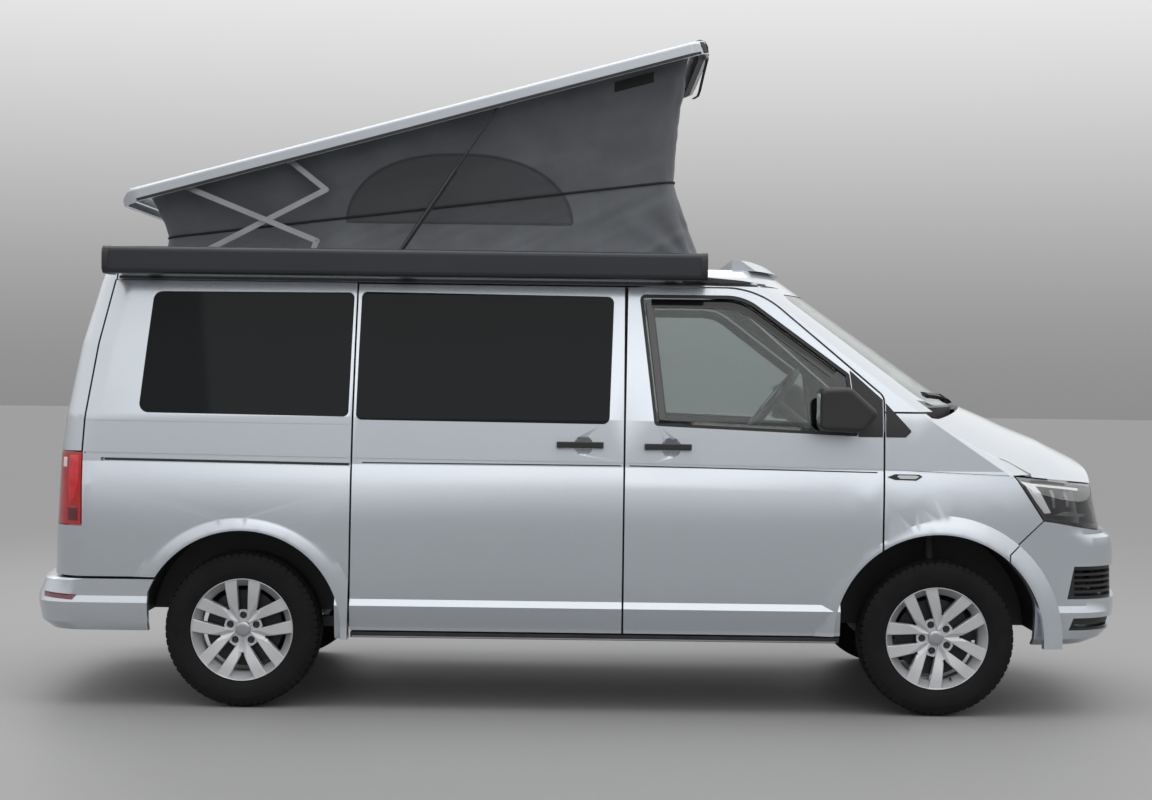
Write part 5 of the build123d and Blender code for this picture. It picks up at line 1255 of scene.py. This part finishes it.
# Raised roof trim, in the closed roof's place: (x, z)
SEAL_LINE = ((-1.955, 1.9345), (0.600, 1.9345))
SEAL_BEAD = (0.014, 0.003)
EDGE_SECTION = (
    (0.596, 1.9300), (0.644, 1.9300), (0.648, 1.9560), (0.642, 1.9800), (0.622, 1.9945), (0.604, 1.9930),
    (0.612, 1.9750), (0.618, 1.9500),
)
EDGE_HALF = 0.690
EDGE_STEPS = 24
EDGE_DRAW = 0.10
EDGE_DRAW_FROM = 0.7
EDGE_END = ((0.612, 1.931), (0.6365, 1.931), (0.6365, 1.980), (0.606, 1.984))
EDGE_END_PROUD = 0.003


def raised_line(line):
    return [raised(*point) for point in line]


def build_roof_trim():
    seal, edge = Shape(), Shape()
    rows = []
    for step in range(EDGE_STEPS + 1):
        share = 2 * step / EDGE_STEPS - 1
        draw = EDGE_DRAW * max(0.0, abs(share) - EDGE_DRAW_FROM) ** 2
        rows.append([Vector((x - draw, share * EDGE_HALF, z)) for x, z in raised_line(EDGE_SECTION)])
    edge.tube(rows)
    tree = tree_of("roof_shell")
    for side in SIDES.values():
        strip(seal, from_side(tree, side), raised_line(SEAL_LINE), *SEAL_BEAD)
        pad(edge, from_side(tree, side), raised_line(EDGE_END), EDGE_END_PROUD)
    piece("roof_seal", seal, black_trim, "lid")
    piece("roof_front_edge", edge, black_trim, "lid")


build_roof_trim()


# Latch strap under the raised roof's front: (x, z) as raised
LATCH_Y = -0.500
LATCH_HALF = 0.014
LATCH_THICK = 0.012
LATCH_LINE = ((0.543, 2.882), (0.524, 2.800), (0.510, 2.735), (0.502, 2.712), (0.482, 2.700))


def build_latch():
    rows = []
    for x, z in LATCH_LINE:
        row = []
        for dx, dy in ((-1, -1), (1, -1), (1, 1), (-1, 1)):
            row.append(Vector((x + dx * LATCH_THICK / 2, LATCH_Y + dy * LATCH_HALF, z)))
        rows.append(row)
    shape = Shape()
    shape.tube(rows)
    obj = piece("roof_latch", shape, webbing, "lid")
    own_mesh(obj)


build_latch()


# Awning ends: caps a little larger than the case
AWNING_LOW, AWNING_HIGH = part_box("awning")
AWNING_DEEP = 0.186
AWNING_CORNER = 0.034
AWNING_LAYERS = ((-0.020, 1.0), (0.004, 1.0), (0.008, 0.965))


def build_awning_ends():
    shape = Shape()
    outline = box_outline(
        AWNING_LOW.y - 0.003, AWNING_LOW.y + AWNING_DEEP, AWNING_LOW.z - 0.002, AWNING_HIGH.z + 0.002,
        AWNING_CORNER,
    )
    middle = sum((Vector(point) for point in outline), Vector((0, 0))) / len(outline)
    for x, out in ((AWNING_LOW.x, -1), (AWNING_HIGH.x, 1)):
        rows = []
        for depth, shrink in AWNING_LAYERS:
            ring = [middle.lerp(Vector(point), shrink) for point in outline]
            rows.append([Vector((x + out * depth, *place)) for place in ring])
        shape.tube(rows)
    piece("awning_ends", shape, black_trim, "body")


build_awning_ends()


# Wipers, mirror glass and tailgate fittings: (y, z)
WIPERS = (
    ((-0.610, 1.392), (-0.300, 1.378), (-0.010, 1.372)), ((0.060, 1.372), (0.340, 1.378), (0.640, 1.394)),
)
WIPER_ARMS = (((-0.330, 1.379), (-0.060, 1.352)), ((0.320, 1.377), (0.560, 1.356)))
WIPER_BEAD = (0.014, 0.018)
WIPER_ARM_BEAD = (0.022, 0.030)
REAR_BLADE = ((-0.020, 1.228), (-0.200, 1.238), (-0.380, 1.250))
REAR_ARM = ((0.000, 1.168), (-0.060, 1.205), (-0.190, 1.236))
REAR_BEADS = [(REAR_BLADE, 0.012, 0.014), (REAR_ARM, 0.020, 0.022)]
HIGH_LAMP = box_outline(-0.150, 0.150, 1.778, 1.800, 0.008)
REAR_HANDLE = box_outline(-0.290, 0.290, 0.905, 0.945, 0.012)
MIRROR_PANE = box_outline(1.008, 1.128, 1.258, 1.392, 0.024)
MIRROR_SIGHT = 0.6
MIRROR_PROUD = 0.0015


def build_fittings():
    front = along_x(tree_of("windscreen cowl bonnet"), FAR, -1)
    beads = [(line, *WIPER_BEAD) for line in WIPERS] + [(line, *WIPER_ARM_BEAD) for line in WIPER_ARMS]
    trim("wipers", front, black_trim, "body", strips=beads)
    rear = along_x(tree_of("tailgate tailgate_glass"), -FAR, 1)
    trim("rear_wiper", rear, black_trim, "rear_door", strips=REAR_BEADS)
    trim("high_brake_lamp", rear, dark_red, "rear_door", pads=[(HIGH_LAMP, 0.004)])
    trim("tailgate_handle", rear, black_trim, "rear_door", pads=[(REAR_HANDLE, 0.014)])
    for side_name, side in SIDES.items():
        where = along_x(tree_of(f"door_trim_{side_name}"), MIRROR_SIGHT, 1)
        pane = [([(side * y, z) for y, z in MIRROR_PANE], MIRROR_PROUD)]
        trim(f"mirror_glass_{side_name}", where, mirror_face, f"{side_name}_door", pads=pane)


build_fittings()


# Dash (y, z) and kitchen (x, z) fittings
CAB_PLANE = 0.5
DASH_PADS = {
    "dial_panel": (box_outline(0.275, 0.525, 1.075, 1.140, 0.020), 0.014),
    "dash_screen": (box_outline(-0.125, 0.125, 1.030, 1.110, 0.012), 0.010),
    "dash_controls": (box_outline(-0.115, 0.115, 0.935, 1.005, 0.012), 0.008),
}
VENT_PLACES = (-0.680, -0.210, 0.200, 0.680)
VENT_HALF = 0.055
VENT_LOW = 1.062
VENT_SLATS = 4
VENT_PITCH = 0.016
VENT_BEAD = (0.008, 0.006)
KITCHEN_DOORS = (-0.945, -0.620, -0.295, 0.045)
KITCHEN_HEIGHT = (0.520, 1.225)
KITCHEN_GAP = 0.004
KITCHEN_CORNER = 0.006
DOOR_PROUD = 0.010
DOOR_STEP = 0.08
HANDLE_INSET = 0.10
HANDLE_HEIGHT = 1.160
HANDLE_BEAD = (0.012, 0.026)


def build_inside():
    dash = along_x(tree_of("dashboard"), CAB_PLANE, 1)
    for name, row in DASH_PADS.items():
        trim(name, dash, gloss_black, "body", pads=[row])
    slats = []
    for y in VENT_PLACES:
        for slat in range(VENT_SLATS):
            z = VENT_LOW + slat * VENT_PITCH
            slats.append((((y - VENT_HALF, z), (y + VENT_HALF, z)), *VENT_BEAD))
    trim("dash_vents", dash, gloss_black, "body", strips=slats)
    kitchen = from_side(tree_of("kitchen_unit"), RIGHT)
    doors, handles = [], []
    for start, end in zip(KITCHEN_DOORS, KITCHEN_DOORS[1:]):
        door = box_outline(start + KITCHEN_GAP, end - KITCHEN_GAP, *KITCHEN_HEIGHT, KITCHEN_CORNER)
        doors.append((door, DOOR_PROUD, DOOR_STEP))
        handle = ((start + HANDLE_INSET, HANDLE_HEIGHT), (end - HANDLE_INSET, HANDLE_HEIGHT))
        handles.append((handle, *HANDLE_BEAD))
    trim("kitchen_doors", kitchen, laminate, "body", pads=doors)
    trim("kitchen_handles", kitchen, bare_steel, "body", strips=handles)


build_inside()


# Studio: a plain grey floor, a camera and soft lights
def build_floor():
    verts = [(x * FLOOR_REACH, y * FLOOR_REACH, 0.0) for x, y in ((-1, -1), (1, -1), (1, 1), (-1, 1))]
    floor_finish = surface("studio_floor", (FLOOR_COLOUR,) * 3, 0.6, tone=0.01, tone_scale=0.3)
    from_mesh("studio_floor", verts, [(0, 1, 2, 3)], floor_finish)


def build_world():
    world = bpy.data.worlds.new("studio")
    bpy.context.scene.world = world
    world.use_nodes = True
    tree = world.node_tree
    back = tree.nodes["Background"]
    spot = node(tree, "ShaderNodeTexCoord").outputs["Generated"]
    way = node(tree, "ShaderNodeSeparateXYZ", Vector=spot)
    level = node(
        tree, "ShaderNodeMapRange", {"interpolation_type": "SMOOTHSTEP"}, Value=way.outputs["Z"],
        From_Min=SKY_RISE[0], From_Max=SKY_RISE[1], To_Min=SKY_LOW, To_Max=SKY_HIGH,
    )
    feed(tree, back, Color=(1.0, 1.0, 1.0, 1.0), Strength=level)


def add_light(name, place, target, width, height, power):
    data = bpy.data.lights.new(name, "AREA")
    data.shape = "RECTANGLE"
    data.size, data.size_y, data.energy = width, height, power
    obj = bpy.data.objects.new(name, data)
    bpy.context.scene.collection.objects.link(obj)
    obj.location = place
    obj.rotation_euler = (Vector(target) - Vector(place)).to_track_quat("-Z", "Y").to_euler()


def add_camera():
    data = bpy.data.cameras.new("camera")
    data.sensor_width = 36.0
    data.lens = LENS
    camera = bpy.data.objects.new("camera", data)
    bpy.context.scene.collection.objects.link(camera)
    level = Matrix.Rotation(math.radians(90 + CAMERA_PITCH), 4, "X")
    roll = Matrix.Rotation(math.radians(CAMERA_ROLL), 4, "Z")
    camera.matrix_world = Matrix.Translation(CAMERA_PLACE) @ level @ roll
    bpy.context.scene.camera = camera


# Lights: place, target, width, height and power
LIGHTS = {
    "overhead": ((0.5, -1.0, 6.5), (0.5, 0.0, 0.0), 11.0, 5.0, 300),
    "front_fill": ((1.0, -10.0, 5.5), (0.0, 0.0, 1.0), 9.0, 3.0, 70),
    "rear_edge": ((-2.0, 6.0, 5.0), (0.0, 0.0, 1.5), 7.0, 2.5, 120),
}
build_floor()
build_world()
for name, row in LIGHTS.items():
    add_light(name, *row)
add_camera()
bpy.context.scene.view_settings.view_transform = "Standard"
